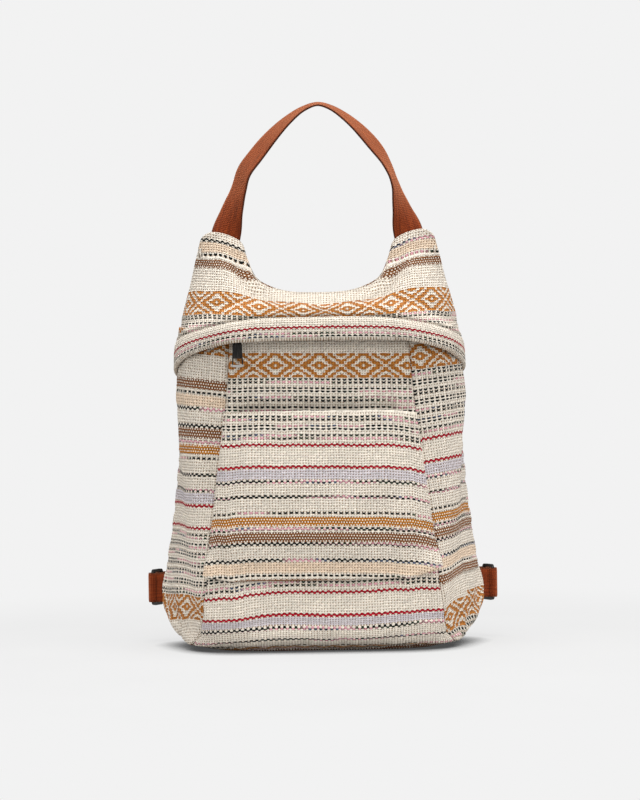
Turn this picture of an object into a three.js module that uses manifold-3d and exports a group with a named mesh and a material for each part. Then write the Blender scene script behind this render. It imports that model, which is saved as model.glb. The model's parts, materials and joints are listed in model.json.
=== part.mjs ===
import * as THREE from "three";
import Module from "manifold-3d";
import { mergeVertices } from "three/addons/utils/BufferGeometryUtils.js";

const wasm = await Module();
wasm.setup();

// Driving dimensions in millimetres. The bag stands on z = 0 and its front faces -Y.
const cloth = 3; // woven cloth with its backing
const seamGap = 0.4; // between neighbouring panels
const webWide = 30; // brown webbing of handle, tabs and shoulder straps
const webThick = 2.2;
const yokeLow = 321.4; // lower edge of the front yoke
const bodyTop = 330; // height at which the body turns into the yokes
const frontZip = { height: 316, half: 86, slot: 5 };
const backZip = { height: 292, half: 84, slot: 5 };
const pocket = { low: 76, high: 236, pouch: 9, thick: 2.6 };
const tab = { height: 56, eye: 16, outer: 5, inner: 3.1, angle: 18 };
const ring = { bar: 2.8, reach: 14, tall: 31.4, turn: 122 };
const pull = { length: 36.8, wide: 10.6, neck: 5, thick: 1.8, eye: 3.1, hole: 1.7, legReach: 3.5 };

// Lines plan of the body: at each height, where the panel middles and the seams run.
const heights = [0, 6, 20, 45, 90, 150, 220, 275, 311, 330];
const plan = {
  frontMiddleY: [-36, -46, -55.5, -63, -66, -63, -54, -46, -45, -44.3],
  frontQuarterY: [-32.5, -42.5, -52.5, -60.5, -63.5, -61, -53, -45.8, -45, -44.3],
  frontSeamX: [110, 127, 125, 119, 112.5, 105, 96, 90.5, 88, 86],
  frontSeamY: [-12, -25, -39, -49.5, -53, -52, -48, -45, -44.5, -43.6],
  sideX: [112, 128, 141, 146, 141, 136, 133, 130, 129, 127],
  sideY: [10, 4, -6, -15, -21, -24, -25, -24, -22, -20],
  backSeamX: [106, 130, 146, 159, 154, 145, 139.5, 137, 137, 135],
  backSeamY: [42, 50, 55, 58, 58, 55, 49, 42, 36, 32],
  backQuarterY: [47, 57, 63, 66, 67, 65, 59, 52, 46.5, 43.5],
  backMiddleY: [49, 59, 65, 68, 69, 67, 61, 52.5, 46.5, 43.5],
};
const quarterShare = { front: 0.72, back: 0.62 };

// Top edge of the yokes from the outer side of an ear to the middle of the neckline: x, z.
const topEdge = [
  [121, 398],
  [117.5, 407],
  [106, 413],
  [77, 404],
  [70.5, 386],
  [61, 366.5],
  [37, 355],
  [0, 352],
];
const topMiddleY = { ear: 2, neck: -8 };

// Handle: middle line of the webbing from inside the left ear to the top of the arch: x, z.
const handleLine = [
  [-97.1, 389.6],
  [-91.6, 412.1],
  [-85.5, 435.2],
  [-78.3, 457.2],
  [-72.2, 475.7],
  [-60.4, 491.7],
  [-45, 510.2],
  [-28.6, 526.3],
  [-12.8, 537.5],
  [2, 542.3],
  [14.2, 538.3],
  [27.5, 528.8],
  [41.8, 514.7],
  [59.2, 493.2],
  [68, 478.7],
  [76.2, 461.2],
  [82.8, 442.7],
  [91.1, 414.6],
  [97.2, 390.5],
];

const colours = {
  weave: 0xe6dcc6,
  pocketWeave: 0xdccfb4,
  brown: 0x8a4526,
  lining: 0xcdbfa6,
  tape: 0x3b352f,
  metal: 0x2d2c2b,
};

const part = new THREE.Group();

function addPiece(name, geometry, colour, roughness = 0.9) {
  const material = new THREE.MeshStandardMaterial({ color: colour, roughness });
  const mesh = new THREE.Mesh(geometry, material);
  mesh.name = name;
  part.add(mesh);
}

function mix(a, b, share) {
  return a + (b - a) * share;
}

function ease(low, high, value) {
  const share = Math.min(Math.max((value - low) / (high - low), 0), 1);
  return share * share * (3 - 2 * share);
}

function range(count) {
  return Array.from({ length: count + 1 }, (_, i) => i / count);
}

// Solids and booleans

function solidOf(geometry) {
  const bare = new THREE.BufferGeometry();
  bare.setAttribute("position", geometry.getAttribute("position").clone());
  if (geometry.index) bare.setIndex(geometry.index);
  const merged = mergeVertices(bare, 1e-4);
  return new wasm.Manifold(
    new wasm.Mesh({
      numProp: 3,
      vertProperties: merged.attributes.position.array,
      triVerts: new Uint32Array(merged.index.array),
    }),
  );
}

function geometryOf(solid) {
  const mesh = solid.getMesh();
  const geometry = new THREE.BufferGeometry();
  geometry.setAttribute("position", new THREE.BufferAttribute(mesh.vertProperties, 3));
  geometry.setIndex(new THREE.BufferAttribute(mesh.triVerts, 1));
  return geometry;
}

function join(pieces) {
  return geometryOf(pieces.map(solidOf).reduce((a, b) => a.add(b)));
}

function closedMesh(points, faces) {
  let volume = 0;
  for (let i = 0; i < faces.length; i += 3) {
    const [a, b, c] = [points[faces[i]], points[faces[i + 1]], points[faces[i + 2]]];
    volume += a.dot(b.clone().cross(c));
  }
  const order = volume < 0 ? faces.slice().reverse() : faces;
  const geometry = new THREE.BufferGeometry().setFromPoints(points);
  geometry.setIndex(order);
  return geometry;
}

// A sheet with thickness between two grids of points, closed at its four edges.
function slab(outer, inner) {
  const rows = outer.length;
  const columns = outer[0].length;
  const far = (r, c) => r * columns + c;
  const near = (r, c) => (rows + r) * columns + c;
  const faces = [];
  const quad = (a, b, c, d) => faces.push(a, b, c, a, c, d);
  for (let r = 0; r < rows - 1; r++) {
    for (let c = 0; c < columns - 1; c++) {
      quad(far(r, c), far(r, c + 1), far(r + 1, c + 1), far(r + 1, c));
      quad(near(r, c), near(r + 1, c), near(r + 1, c + 1), near(r, c + 1));
    }
  }
  const lastRow = rows - 1;
  const lastColumn = columns - 1;
  for (let c = 0; c < lastColumn; c++) {
    quad(far(0, c), near(0, c), near(0, c + 1), far(0, c + 1));
    quad(far(lastRow, c), far(lastRow, c + 1), near(lastRow, c + 1), near(lastRow, c));
  }
  for (let r = 0; r < lastRow; r++) {
    quad(far(r, 0), far(r + 1, 0), near(r + 1, 0), near(r, 0));
    quad(far(r, lastColumn), near(r, lastColumn), near(r + 1, lastColumn), far(r + 1, lastColumn));
  }
  return closedMesh([...outer.flat(), ...inner.flat()], faces);
}

// A solid through closed rings of points, capped flat at both ends.
function loftRings(rings) {
  const count = rings[0].length;
  const points = rings.flat();
  const faces = [];
  for (let r = 0; r < rings.length - 1; r++) {
    for (let c = 0; c < count; c++) {
      const next = (c + 1) % count;
      const [a, b] = [r * count + c, r * count + next];
      faces.push(a, b, b + count, a, b + count, a + count);
    }
  }
  const top = (rings.length - 1) * count;
  const middleOf = (list) => list.reduce((sum, p) => sum.add(p), new THREE.Vector3()).divideScalar(count);
  const low = points.push(middleOf(rings[0])) - 1;
  const high = points.push(middleOf(rings[rings.length - 1])) - 1;
  for (let c = 0; c < count; c++) {
    const next = (c + 1) % count;
    faces.push(low, next, c, high, top + c, top + next);
  }
  return closedMesh(points, faces);
}

// Body surface

function smoothLine(values) {
  const last = heights.length - 1;
  const slopes = values.map((_, i) => {
    const [a, b] = [Math.max(i - 1, 0), Math.min(i + 1, last)];
    return (values[b] - values[a]) / (heights[b] - heights[a]);
  });
  return (z) => {
    const i = Math.min(Math.max(heights.filter((h) => h <= z).length - 1, 0), last - 1);
    const step = heights[i + 1] - heights[i];
    const s = (z - heights[i]) / step;
    const rise = values[i] * (1 + 2 * s) * (1 - s) ** 2 + values[i + 1] * s * s * (3 - 2 * s);
    return rise + step * (slopes[i] * s * (1 - s) ** 2 - slopes[i + 1] * s * s * (1 - s));
  };
}

const line = Object.fromEntries(Object.entries(plan).map(([name, values]) => [name, smoothLine(values)]));
const sections = new Map();

// Horizontal section: twelve points counted from the front middle towards +X.
function sectionAt(z) {
  if (!sections.has(z)) {
    const right = [
      [quarterShare.front * line.frontSeamX(z), line.frontQuarterY(z)],
      [line.frontSeamX(z), line.frontSeamY(z)],
      [line.sideX(z), line.sideY(z)],
      [line.backSeamX(z), line.backSeamY(z)],
      [quarterShare.back * line.backSeamX(z), line.backQuarterY(z)],
    ];
    const left = right.map(([x, y]) => [-x, y]).reverse();
    const loop = [[0, line.frontMiddleY(z)], ...right, [0, line.backMiddleY(z)], ...left];
    const points = loop.map(([x, y]) => new THREE.Vector3(x, y, z));
    sections.set(z, new THREE.CatmullRomCurve3(points, true, "centripetal"));
  }
  return sections.get(z);
}

function bodyPoint(t, z) {
  return sectionAt(z).getPoint((((t % 12) + 12) % 12) / 12);
}

function bodyNormal(t, z) {
  const along = bodyPoint(t + 0.02, z).sub(bodyPoint(t - 0.02, z));
  const up = bodyPoint(t, Math.min(z + 0.5, bodyTop)).sub(bodyPoint(t, Math.max(z - 0.5, 0)));
  return along.cross(up).normalize();
}

function bodyAt(t, z, out) {
  return bodyPoint(t, z).addScaledVector(bodyNormal(t, z), out);
}

// Positions across a panel, stopping half a seam gap short of both seams.
function across(from, to, z, count) {
  const inset = (t) => (0.01 * seamGap) / bodyPoint(t + 0.01, z).distanceTo(bodyPoint(t - 0.01, z));
  const low = from + inset(from);
  const high = to - inset(to);
  return range(count).map((share) => mix(low, high, share));
}

function panel(from, to, rows, count, outer = () => 0, inner = () => -cloth) {
  const grid = (out) => rows.map((z) => across(from, to, z, count).map((t) => bodyAt(t, z, out(t, z))));
  return slab(grid(outer), grid(inner));
}

// A sheet that follows a path of [height, distance from the surface] at each place across the front.
function pathSheet(places, pathAt, thick, surface = (t, z, out) => bodyAt(t, Math.min(z, bodyTop), out)) {
  const outer = [];
  const inner = [];
  places.forEach((t) => {
    const path = pathAt(t);
    const side = path.map((_, i) => {
      const [a, b] = [path[Math.max(i - 1, 0)], path[Math.min(i + 1, path.length - 1)]];
      const run = Math.hypot(b[0] - a[0], b[1] - a[1]);
      return [(b[1] - a[1]) / run, -(b[0] - a[0]) / run];
    });
    outer.push(path.map(([z, out]) => surface(t, z, out)));
    inner.push(path.map(([z, out], i) => surface(t, z - side[i][0] * thick, out - side[i][1] * thick)));
  });
  return slab(outer, inner);
}

const lowRows = [0, 3, 6, 12, 20, 32, 45, 66, 90, 120, 150, 185, 220, 250];

function addBody() {
  const frontTop = frontZip.height - frontZip.slot;
  const backLow = backZip.height - backZip.slot;
  const backHigh = backZip.height + backZip.slot;
  addPiece("front_panel", panel(-2, 2, [...lowRows, 275, 295, frontTop], 14), colours.weave);
  const sideRows = [...lowRows, 285, yokeLow - seamGap];
  addPiece("gusset_right", panel(2, 4, sideRows, 6), colours.weave);
  addPiece("gusset_left", panel(8, 10, sideRows, 6), colours.weave);
  addPiece("back_panel", panel(4, 8, [...lowRows, 270, backLow], 16), colours.weave);
  const facingRows = [backHigh, 308, yokeLow, bodyTop - seamGap];
  addPiece("back_facing", panel(4, 8, facingRows, 16), colours.weave);
}

function addBase() {
  const outline = (z, inset) => {
    const ringPoints = range(48).slice(0, 48).map((share) => bodyPoint(share * 12, 0));
    return ringPoints.map((p) => {
      const away = Math.hypot(p.x, p.y);
      const scale = (away - inset) / away;
      return new THREE.Vector3(p.x * scale, p.y * scale, z);
    });
  };
  addPiece("base_panel", loftRings([outline(0, 0.9), outline(2, 4.2)]), colours.weave);
}

function addLining() {
  const rowsOf = (list, out) => list.map((z) => range(32).slice(0, 32).map((s) => bodyAt(s * 12, z, out)));
  const outside = loftRings(rowsOf([8, 20, 45, 90, 150, 220, 276], -13));
  const hollow = loftRings(rowsOf([9.2, 20, 45, 90, 150, 220, 276.5], -14.2));
  addPiece("lining", geometryOf(solidOf(outside).subtract(solidOf(hollow))), colours.lining);
}

function addPocket() {
  const lift = (t, z) => {
    const side = 1 - (t / 2) ** 2;
    const rise = ease(pocket.low, pocket.low + 46, z) * mix(0.86, 1, ease(pocket.high, pocket.high - 60, z));
    return 0.4 + pocket.pouch * side * rise;
  };
  const rows = [pocket.low, 82, 90, 102, 120, 142, 165, 190, 212, pocket.high];
  const sheet = panel(-2, 2, rows, 16, (t, z) => lift(t, z) + pocket.thick, lift);
  addPiece("front_pocket", sheet, colours.pocketWeave);
}

// Overlap flap: it leaves the yoke in a slope, turns over a rounded ridge and hangs to a free edge.
const flapTop = [326.5, 325.5, 321, 311, 302];
const flapLow = [304, 303.5, 301, 288, 268];
const flapStand = [15, 15, 16.5, 8, 4.8];
const flapRise = [22, 22, 18, 8, 2];

function alongFlap(list, t) {
  const place = Math.min(Math.abs(t), 3.999);
  const i = Math.floor(place);
  const at = (k) => list[Math.min(Math.abs(k), 4)];
  const s = place - i;
  const [a, b, c, d] = [at(i - 1), at(i), at(i + 1), i + 2 > 4 ? 2 * at(4) - at(3) : at(i + 2)];
  return b + 0.5 * s * (c - a + s * (2 * a - 5 * b + 4 * c - d + s * (3 * (b - c) + d - a)));
}

// The front of the bag as one surface: the body up to its top, then the yoke, 60 mm of height above it.
function frontSkin(t, height, out) {
  if (height <= bodyTop) return bodyAt(t, height, out);
  const v = (height - bodyTop) / 60;
  const here = yokePoint(yokes.front, t, v, 0);
  const up = yokePoint(yokes.front, t, v + 0.02, 0).sub(here);
  const beside = yokePoint(yokes.front, t + 0.02, v, 0).sub(yokePoint(yokes.front, t - 0.02, v, 0));
  const yokeOut = beside.cross(up).normalize();
  const share = ease(0, 6, height - bodyTop);
  return here.addScaledVector(bodyNormal(t, bodyTop).lerp(yokeOut, share).normalize(), out);
}

function addFlap() {
  const pathAt = (t) => {
    const high = alongFlap(flapTop, t);
    const low = alongFlap(flapLow, t);
    const stand = alongFlap(flapStand, t);
    const root = high + alongFlap(flapRise, t);
    const lift = cloth + 0.8;
    const shoulder = Math.max(stand * 0.8, lift + 0.3);
    return [
      [root, lift],
      [mix(root, high, 0.3), mix(lift, shoulder, 0.22)],
      [mix(root, high, 0.65), mix(lift, shoulder, 0.58)],
      [high + 1.2, shoulder],
      [high - 2.5, Math.max(stand * 0.95, lift + 0.5)],
      [mix(high, low, 0.6), stand],
      [low, stand * 0.98],
    ];
  };
  const places = range(36).map((share) => mix(-3.97, 3.97, share));
  addPiece("front_flap", pathSheet(places, pathAt, cloth, frontSkin), colours.weave);
}

function addPouch() {
  const pathAt = () => [
    [302, -5],
    [275, -5],
    [250, -5],
    [220, -5],
    [182, -5],
    [177, -5.8],
    [175, -7.4],
    [177, -9],
    [182, -9.8],
    [220, -9.8],
    [302, -9.8],
  ];
  const places = range(12).map((share) => mix(-1.75, 1.75, share));
  addPiece("front_pouch", pathSheet(places, pathAt, 0.8), colours.lining);
}

// Yokes: lofts from the body's upper section to the top edge.
const topCurve = (() => {
  const half = topEdge.map(([x, z]) => new THREE.Vector3(-x, 0, z));
  const other = topEdge.slice(0, -1).reverse().map(([x, z]) => new THREE.Vector3(x, 0, z));
  const curve = new THREE.CatmullRomCurve3([...half, ...other], false, "centripetal");
  curve.arcLengthDivisions = 600;
  return curve;
})();

function runShare(from, to) {
  const marks = range(160).map((share) => bodyPoint(mix(from, to, share), bodyTop));
  const run = [0];
  for (let i = 1; i < marks.length; i++) run.push(run[i - 1] + marks[i].distanceTo(marks[i - 1]));
  return (t) => {
    const place = Math.min(Math.max(((t - from) / (to - from)) * 160, 0), 160);
    const i = Math.min(Math.floor(place), 159);
    return mix(run[i], run[i + 1], place - i) / run[160];
  };
}

const yokes = {
  front: { side: -1, from: -4, to: 4, share: runShare(-4, 4), bulge: 7 },
  back: { side: 1, from: 4, to: 8, share: runShare(4, 8), bulge: 6 },
};

function topPoint(yoke, share, depth) {
  const p = topCurve.getPointAt(yoke.side < 0 ? share : 1 - share);
  const open = ease(0, 0.045, Math.min(share, 1 - share));
  const ear = ease(40, 76, Math.abs(p.x));
  const middle = mix(topMiddleY.neck, topMiddleY.ear, ear);
  const clear = mix(0.3, webThick / 2 + 1, ear);
  const away = mix(1.1, clear + cloth - depth, open);
  return new THREE.Vector3(p.x - Math.sign(p.x) * depth * (1 - open), middle + yoke.side * away, p.z);
}

function yokePoint(yoke, t, v, depth) {
  const share = yoke.share(t);
  const point = bodyAt(t, bodyTop, -depth).lerp(topPoint(yoke, share, depth), v);
  const swell = yoke.bulge * Math.sin(Math.PI * v) * Math.min(1, 5 * Math.min(share, 1 - share));
  return point.add(new THREE.Vector3(0, yoke.side * 0.75 * swell, 0.5 * swell));
}

function addYokes() {
  const steps = range(6);
  const grid = (yoke, count, lift, depth) => {
    const places = across(yoke.from, yoke.to, bodyTop, count);
    return steps.map((v) => places.map((t) => yokePoint(yoke, t, v, depth).add(lift(v))));
  };
  const still = () => new THREE.Vector3();
  const skirt = (depth) => [yokeLow, 325.6].map((z) => {
    return across(-4, 4, z, 34).map((t) => bodyAt(t, z, -depth));
  });
  const outer = [...skirt(0), ...grid(yokes.front, 34, still, 0)];
  const inner = [...skirt(cloth), ...grid(yokes.front, 34, still, cloth)];
  addPiece("front_yoke", slab(outer, inner), colours.weave);
  const raise = (v) => new THREE.Vector3(0, 0, 0.3 * (1 - v));
  const back = slab(grid(yokes.back, 26, raise, 0), grid(yokes.back, 26, raise, cloth));
  addPiece("back_yoke", back, colours.weave);
}

// Webbing: a band of even width that follows a middle line, with its width direction given along it.
function band(stations, columns, thickAt, curlAt) {
  const outer = [];
  const inner = [];
  stations.forEach(({ point, along, wide, share }) => {
    const level = along.clone().cross(wide).normalize();
    const row = (offset) => range(columns).map((s) => {
      const j = 2 * s - 1;
      const drop = curlAt(share) * j * j + offset;
      return point.clone().addScaledVector(wide, j * webWide / 2).addScaledVector(level, drop);
    });
    outer.push(row(-thickAt(share) / 2));
    inner.push(row(thickAt(share) / 2));
  });
  return slab(outer, inner);
}

function addHandle() {
  const points = handleLine.map(([x, z]) => new THREE.Vector3(x, topMiddleY.ear, z));
  const curve = new THREE.CatmullRomCurve3(points, false, "centripetal");
  const length = curve.getLength();
  const front = new THREE.Vector3(0, -1, 0);
  const stations = range(48).map((share) => {
    const along = curve.getTangentAt(share);
    const reach = Math.min(share, 1 - share) * length;
    const first = share < 0.5 ? 55 * ease(16, 74, reach) : 68 * ease(18, 62, reach);
    const rest = share < 0.5 ? 30 : 17;
    const turn = THREE.MathUtils.degToRad(first + rest * ease(108, length / 2, reach));
    const flat = new THREE.Vector3(along.z, 0, -along.x);
    const wide = flat.multiplyScalar(Math.cos(turn)).addScaledVector(front, Math.sin(turn));
    return { point: curve.getPointAt(share), along, wide, share };
  });
  const curl = (share) => {
    const reach = Math.min(share, 1 - share) * length;
    return 4 * ease(40, 110, reach) * (1 - 0.75 * ease(150, length / 2, reach));
  };
  addPiece("carry_handle", band(stations, 4, () => webThick, curl), colours.brown);
}

// Strap hardware and straps are drawn for the right side and mirrored for the left.
function addPair(name, geometry, colour, roughness) {
  addPiece(name + "_right", geometry, colour, roughness);
  const mirrored = geometry.clone().applyMatrix4(new THREE.Matrix4().makeScale(-1, 1, 1));
  const index = mirrored.index ? mirrored.index.array : null;
  if (!index) {
    const flat = mergeVertices(mirrored.deleteAttribute("uv").deleteAttribute("normal"), 1e-4);
    flat.setIndex(Array.from(flat.index.array).reverse());
    addPiece(name + "_left", flat, colour, roughness);
    return;
  }
  mirrored.setIndex(Array.from(index).reverse());
  addPiece(name + "_left", mirrored, colour, roughness);
}

const seamSpot = bodyPoint(4, tab.height);
const tabAngle = THREE.MathUtils.degToRad(tab.angle);
const ringAngle = THREE.MathUtils.degToRad(ring.turn);
const tabEye = new THREE.Vector3(
  seamSpot.x + tab.eye * Math.cos(tabAngle),
  seamSpot.y + tab.eye * Math.sin(tabAngle),
  tab.height,
);
const strapBar = new THREE.Vector3(
  tabEye.x + ring.reach * Math.cos(ringAngle),
  tabEye.y + ring.reach * Math.sin(ringAngle),
  tab.height,
);

// Folded webbing seen from above: a stem of two layers and an eye, raised to the webbing's width.
function foldedEye(stemFrom, stemTo, stemThick, outer, inner) {
  const half = stemThick / 2;
  const turn = Math.asin(half / outer);
  const shape = new THREE.Shape();
  shape.moveTo(stemFrom, half);
  shape.lineTo(stemFrom, -half);
  shape.lineTo(stemTo - outer * Math.cos(turn), -half);
  shape.absarc(stemTo, 0, outer, Math.PI + turn, 3 * Math.PI - turn, false);
  shape.closePath();
  const hole = new THREE.Path();
  hole.absarc(stemTo, 0, inner, 0, 2 * Math.PI, true);
  shape.holes.push(hole);
  const solid = new THREE.ExtrudeGeometry(shape, { depth: webWide, bevelEnabled: false, curveSegments: 10 });
  return solid.translate(0, 0, -webWide / 2);
}

function addTabs() {
  const folded = foldedEye(1.3, tab.eye, 3.9, tab.outer, tab.inner);
  folded.rotateZ(tabAngle).translate(seamSpot.x, seamSpot.y, tab.height);
  addPair("strap_tab", folded, colours.brown);
}

function roundedFrame(wide, tall, corner) {
  const shape = new THREE.Shape();
  const [x, y] = [wide / 2, tall / 2];
  shape.moveTo(-x + corner, -y);
  shape.lineTo(x - corner, -y);
  shape.absarc(x - corner, -y + corner, corner, -Math.PI / 2, 0, false);
  shape.lineTo(x, y - corner);
  shape.absarc(x - corner, y - corner, corner, 0, Math.PI / 2, false);
  shape.lineTo(-x + corner, y);
  shape.absarc(-x + corner, y - corner, corner, Math.PI / 2, Math.PI, false);
  shape.lineTo(-x, -y + corner);
  shape.absarc(-x + corner, -y + corner, corner, Math.PI, 1.5 * Math.PI, false);
  return shape;
}

function addRings() {
  const wide = ring.reach + ring.bar;
  const tall = ring.tall + 2 * ring.bar;
  const shape = roundedFrame(wide, tall, 3.2);
  shape.holes.push(roundedFrame(ring.reach - ring.bar, ring.tall, 1));
  const options = { depth: ring.bar, bevelEnabled: false, curveSegments: 4 };
  const loop = new THREE.ExtrudeGeometry(shape, options).translate(ring.reach / 2, 0, -ring.bar / 2);
  loop.rotateX(Math.PI / 2).rotateZ(ringAngle).translate(tabEye.x, tabEye.y, tab.height);
  addPair("strap_ring", loop, colours.metal, 0.4);
}

// Shoulder strap: sewn to the back yoke, straight where its slider runs, then round to the ring.
const strapRun = { top: new THREE.Vector3(53, 74, 283), step: new THREE.Vector3(8, 3.6, -33) };
const strapAlong = strapRun.step.clone().normalize();
const strapWide = new THREE.Vector3(33, 0, 8).normalize();
const strapMiddle = strapRun.top.clone().addScaledVector(strapRun.step, 2.5);
const strapEye = { outer: 7.4, inner: 5.2, away: 163 };

function addStraps() {
  const away = THREE.MathUtils.degToRad(strapEye.away);
  const leave = new THREE.Vector3(Math.cos(away), Math.sin(away), 0);
  const lift = webThick / 2 + 1.7;
  const anchor = (v) => {
    const t = 5.4;
    const here = yokePoint(yokes.back, t, v, 0);
    const up = yokePoint(yokes.back, t, v + 0.05, 0).sub(here);
    const beside = yokePoint(yokes.back, t + 0.05, v, 0).sub(here);
    const wide = beside.clone().negate().normalize();
    return [here.addScaledVector(beside.cross(up).normalize(), lift), wide];
  };
  const upright = new THREE.Vector3(0, 0, 1);
  const lineUp = [
    anchor(0.52),
    anchor(0.32),
    [anchor(0.12)[0].add(new THREE.Vector3(0, 3, 0)), anchor(0.12)[1]],
    [new THREE.Vector3(49.5, 65, 309), new THREE.Vector3(1, 0, 0.14)],
    ...[0, 1, 2, 3, 4, 5].map((k) => [strapRun.top.clone().addScaledVector(strapRun.step, k), strapWide]),
    [new THREE.Vector3(104.5, 94, 94), new THREE.Vector3(0.82, 0, 0.57)],
    [new THREE.Vector3(120, 93.5, 75), new THREE.Vector3(0.5, 0, 0.86)],
    [new THREE.Vector3(138, 87, 62), new THREE.Vector3(0.12, 0, 0.99)],
    [strapBar.clone().addScaledVector(leave, 17), upright],
    [strapBar.clone().addScaledVector(leave, 6.3), upright],
  ];
  const curve = new THREE.CatmullRomCurve3(lineUp.map(([p]) => p), false, "centripetal");
  const wides = new THREE.CatmullRomCurve3(lineUp.map(([, w]) => w), false, "centripetal");
  const last = lineUp.length - 1;
  const shares = range(last * 4);
  const stations = shares.map((share) => {
    const along = curve.getTangent(share);
    const wide = wides.getPoint(share);
    wide.addScaledVector(along, -wide.dot(along)).normalize();
    return { point: curve.getPoint(share), along, wide, share };
  });
  const doubled = 6.5 / last;
  const thickAt = (share) => mix(webThick, 2 * webThick, ease(doubled - 0.01, doubled + 0.01, share));
  const strap = band(stations, 2, thickAt, () => 0);
  const eye = foldedEye(-9, 0, 2 * webThick, strapEye.outer, strapEye.inner);
  eye.rotateZ(away + Math.PI).translate(strapBar.x, strapBar.y, tab.height);
  addPair("shoulder_strap", join([strap, eye]), colours.brown);
}

function box(x, y, z, wide, tall, deep) {
  return new THREE.BoxGeometry(wide, tall, deep).translate(x, y, z);
}

// Strap slider: two bars behind the webbing and a raised bar in front, between two side rails.
function addStrapSliders() {
  const rail = (x) => {
    const shape = roundedFrame(24, 11.4, 3.6);
    const solid = new THREE.ExtrudeGeometry(shape, { depth: 2.8, bevelEnabled: false, curveSegments: 4 });
    return solid.rotateY(Math.PI / 2).rotateX(Math.PI / 2).translate(x - 1.4, 0, 0);
  };
  const frame = join([
    rail(-17.4),
    rail(17.4),
    box(0, -10, -4.2, 36, 3, 2.6),
    box(0, 10, -4.2, 36, 3, 2.6),
    box(0, 0, 4.2, 36, 4.4, 2.6),
  ]);
  const up = strapAlong.clone().negate();
  const out = strapWide.clone().cross(up);
  const place = new THREE.Matrix4().makeBasis(strapWide, up, out).setPosition(strapMiddle);
  addPair("strap_slider", frame.applyMatrix4(place), colours.metal, 0.4);
}

// Zips are drawn flat, x along the zip, y up and z out of the bag, then placed on the panel.
function zipPlace(zip, t, sink) {
  const out = bodyNormal(t, zip.height);
  const along = new THREE.Vector3(t ? -1 : 1, 0, 0);
  const up = out.clone().cross(along);
  const spot = bodyPoint(t, zip.height).addScaledVector(out, -sink);
  return new THREE.Matrix4().makeBasis(along, up, out).setPosition(spot);
}

function zipHalf(half, sign) {
  const pitch = 4;
  const first = -half + 4.4 + (sign > 0 ? 0 : pitch / 2);
  const shape = new THREE.Shape();
  shape.moveTo(-half + 3.4, 3.6);
  shape.lineTo(-half + 3.4, 2.7);
  for (let x = first; x < half - 5.2; x += pitch) {
    shape.lineTo(x, 2.7);
    shape.lineTo(x + 0.2, 0.6);
    shape.lineTo(x + 1.4, 0.6);
    shape.lineTo(x + 1.6, 2.7);
  }
  shape.lineTo(half - 3.4, 2.7);
  shape.lineTo(half - 3.4, 3.6);
  shape.closePath();
  const teeth = new THREE.ExtrudeGeometry(shape, { depth: 2.2, bevelEnabled: false });
  teeth.translate(0, 0, -1.1);
  const tape = box(0, 7, 0, 2 * half, 8, 0.8);
  const half3d = join([teeth, tape]);
  return sign > 0 ? half3d : half3d.rotateX(Math.PI);
}

function zipSlider() {
  const plate = (z) => {
    const shape = new THREE.Shape();
    shape.moveTo(-5.5, -3.4);
    shape.lineTo(-2, -3.6);
    shape.lineTo(2.5, -4.5);
    shape.absarc(4.2, -3.2, 1.3, -Math.PI / 2, 0, false);
    shape.lineTo(5.5, 3.2);
    shape.absarc(4.2, 3.2, 1.3, 0, Math.PI / 2, false);
    shape.lineTo(2.5, 4.5);
    shape.lineTo(-2, 3.6);
    shape.lineTo(-5.5, 3.4);
    shape.closePath();
    const solid = new THREE.ExtrudeGeometry(shape, { depth: 1.3, bevelEnabled: false, curveSegments: 4 });
    return solid.translate(0, 0, z);
  };
  const crown = new THREE.Shape();
  crown.moveTo(-4.3, 2.4);
  crown.lineTo(-4.3, 9.6);
  crown.lineTo(-3.1, 11.2);
  crown.lineTo(3.1, 11.2);
  crown.lineTo(4.3, 9.6);
  crown.lineTo(4.3, 2.4);
  crown.lineTo(2.7, 2.4);
  crown.lineTo(2.7, 9.6);
  crown.lineTo(-2.7, 9.6);
  crown.lineTo(-2.7, 2.4);
  crown.closePath();
  const arch = new THREE.ExtrudeGeometry(crown, { depth: 1.8, bevelEnabled: false });
  arch.rotateX(Math.PI / 2).translate(0, 0.9, 0);
  return join([plate(1.4), plate(-2.7), box(0, 0, 0, 4, 0.5, 4), arch]);
}

function zipPull() {
  const { length, wide, neck, thick, eye, hole } = pull;
  const low = -length;
  const body = new THREE.Shape();
  body.moveTo(-neck / 2, -2);
  body.lineTo(-neck / 2, -11);
  body.lineTo(-wide * 0.42, -15);
  body.lineTo(-wide / 2, low + 2);
  body.absarc(-wide / 2 + 2, low + 2, 2, Math.PI, 1.5 * Math.PI, false);
  body.absarc(wide / 2 - 2, low + 2, 2, 1.5 * Math.PI, 2 * Math.PI, false);
  body.lineTo(wide * 0.42, -15);
  body.lineTo(neck / 2, -11);
  body.lineTo(neck / 2, -2);
  body.absarc(0, 0, eye, -Math.asin(neck / 2 / eye), Math.PI + Math.asin(neck / 2 / eye), false);
  body.closePath();
  const bore = new THREE.Path();
  bore.absarc(0, 0, hole, 0, 2 * Math.PI, true);
  const window = new THREE.Path();
  window.moveTo(-3.4, low + 3.4);
  window.lineTo(-3.2, low + 8.2);
  window.lineTo(3.2, low + 8.2);
  window.lineTo(3.4, low + 3.4);
  window.closePath();
  body.holes.push(bore, window);
  const solid = new THREE.ExtrudeGeometry(body, { depth: thick, bevelEnabled: false, curveSegments: 8 });
  return solid.translate(-pull.legReach, 0, 6.9);
}

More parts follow.
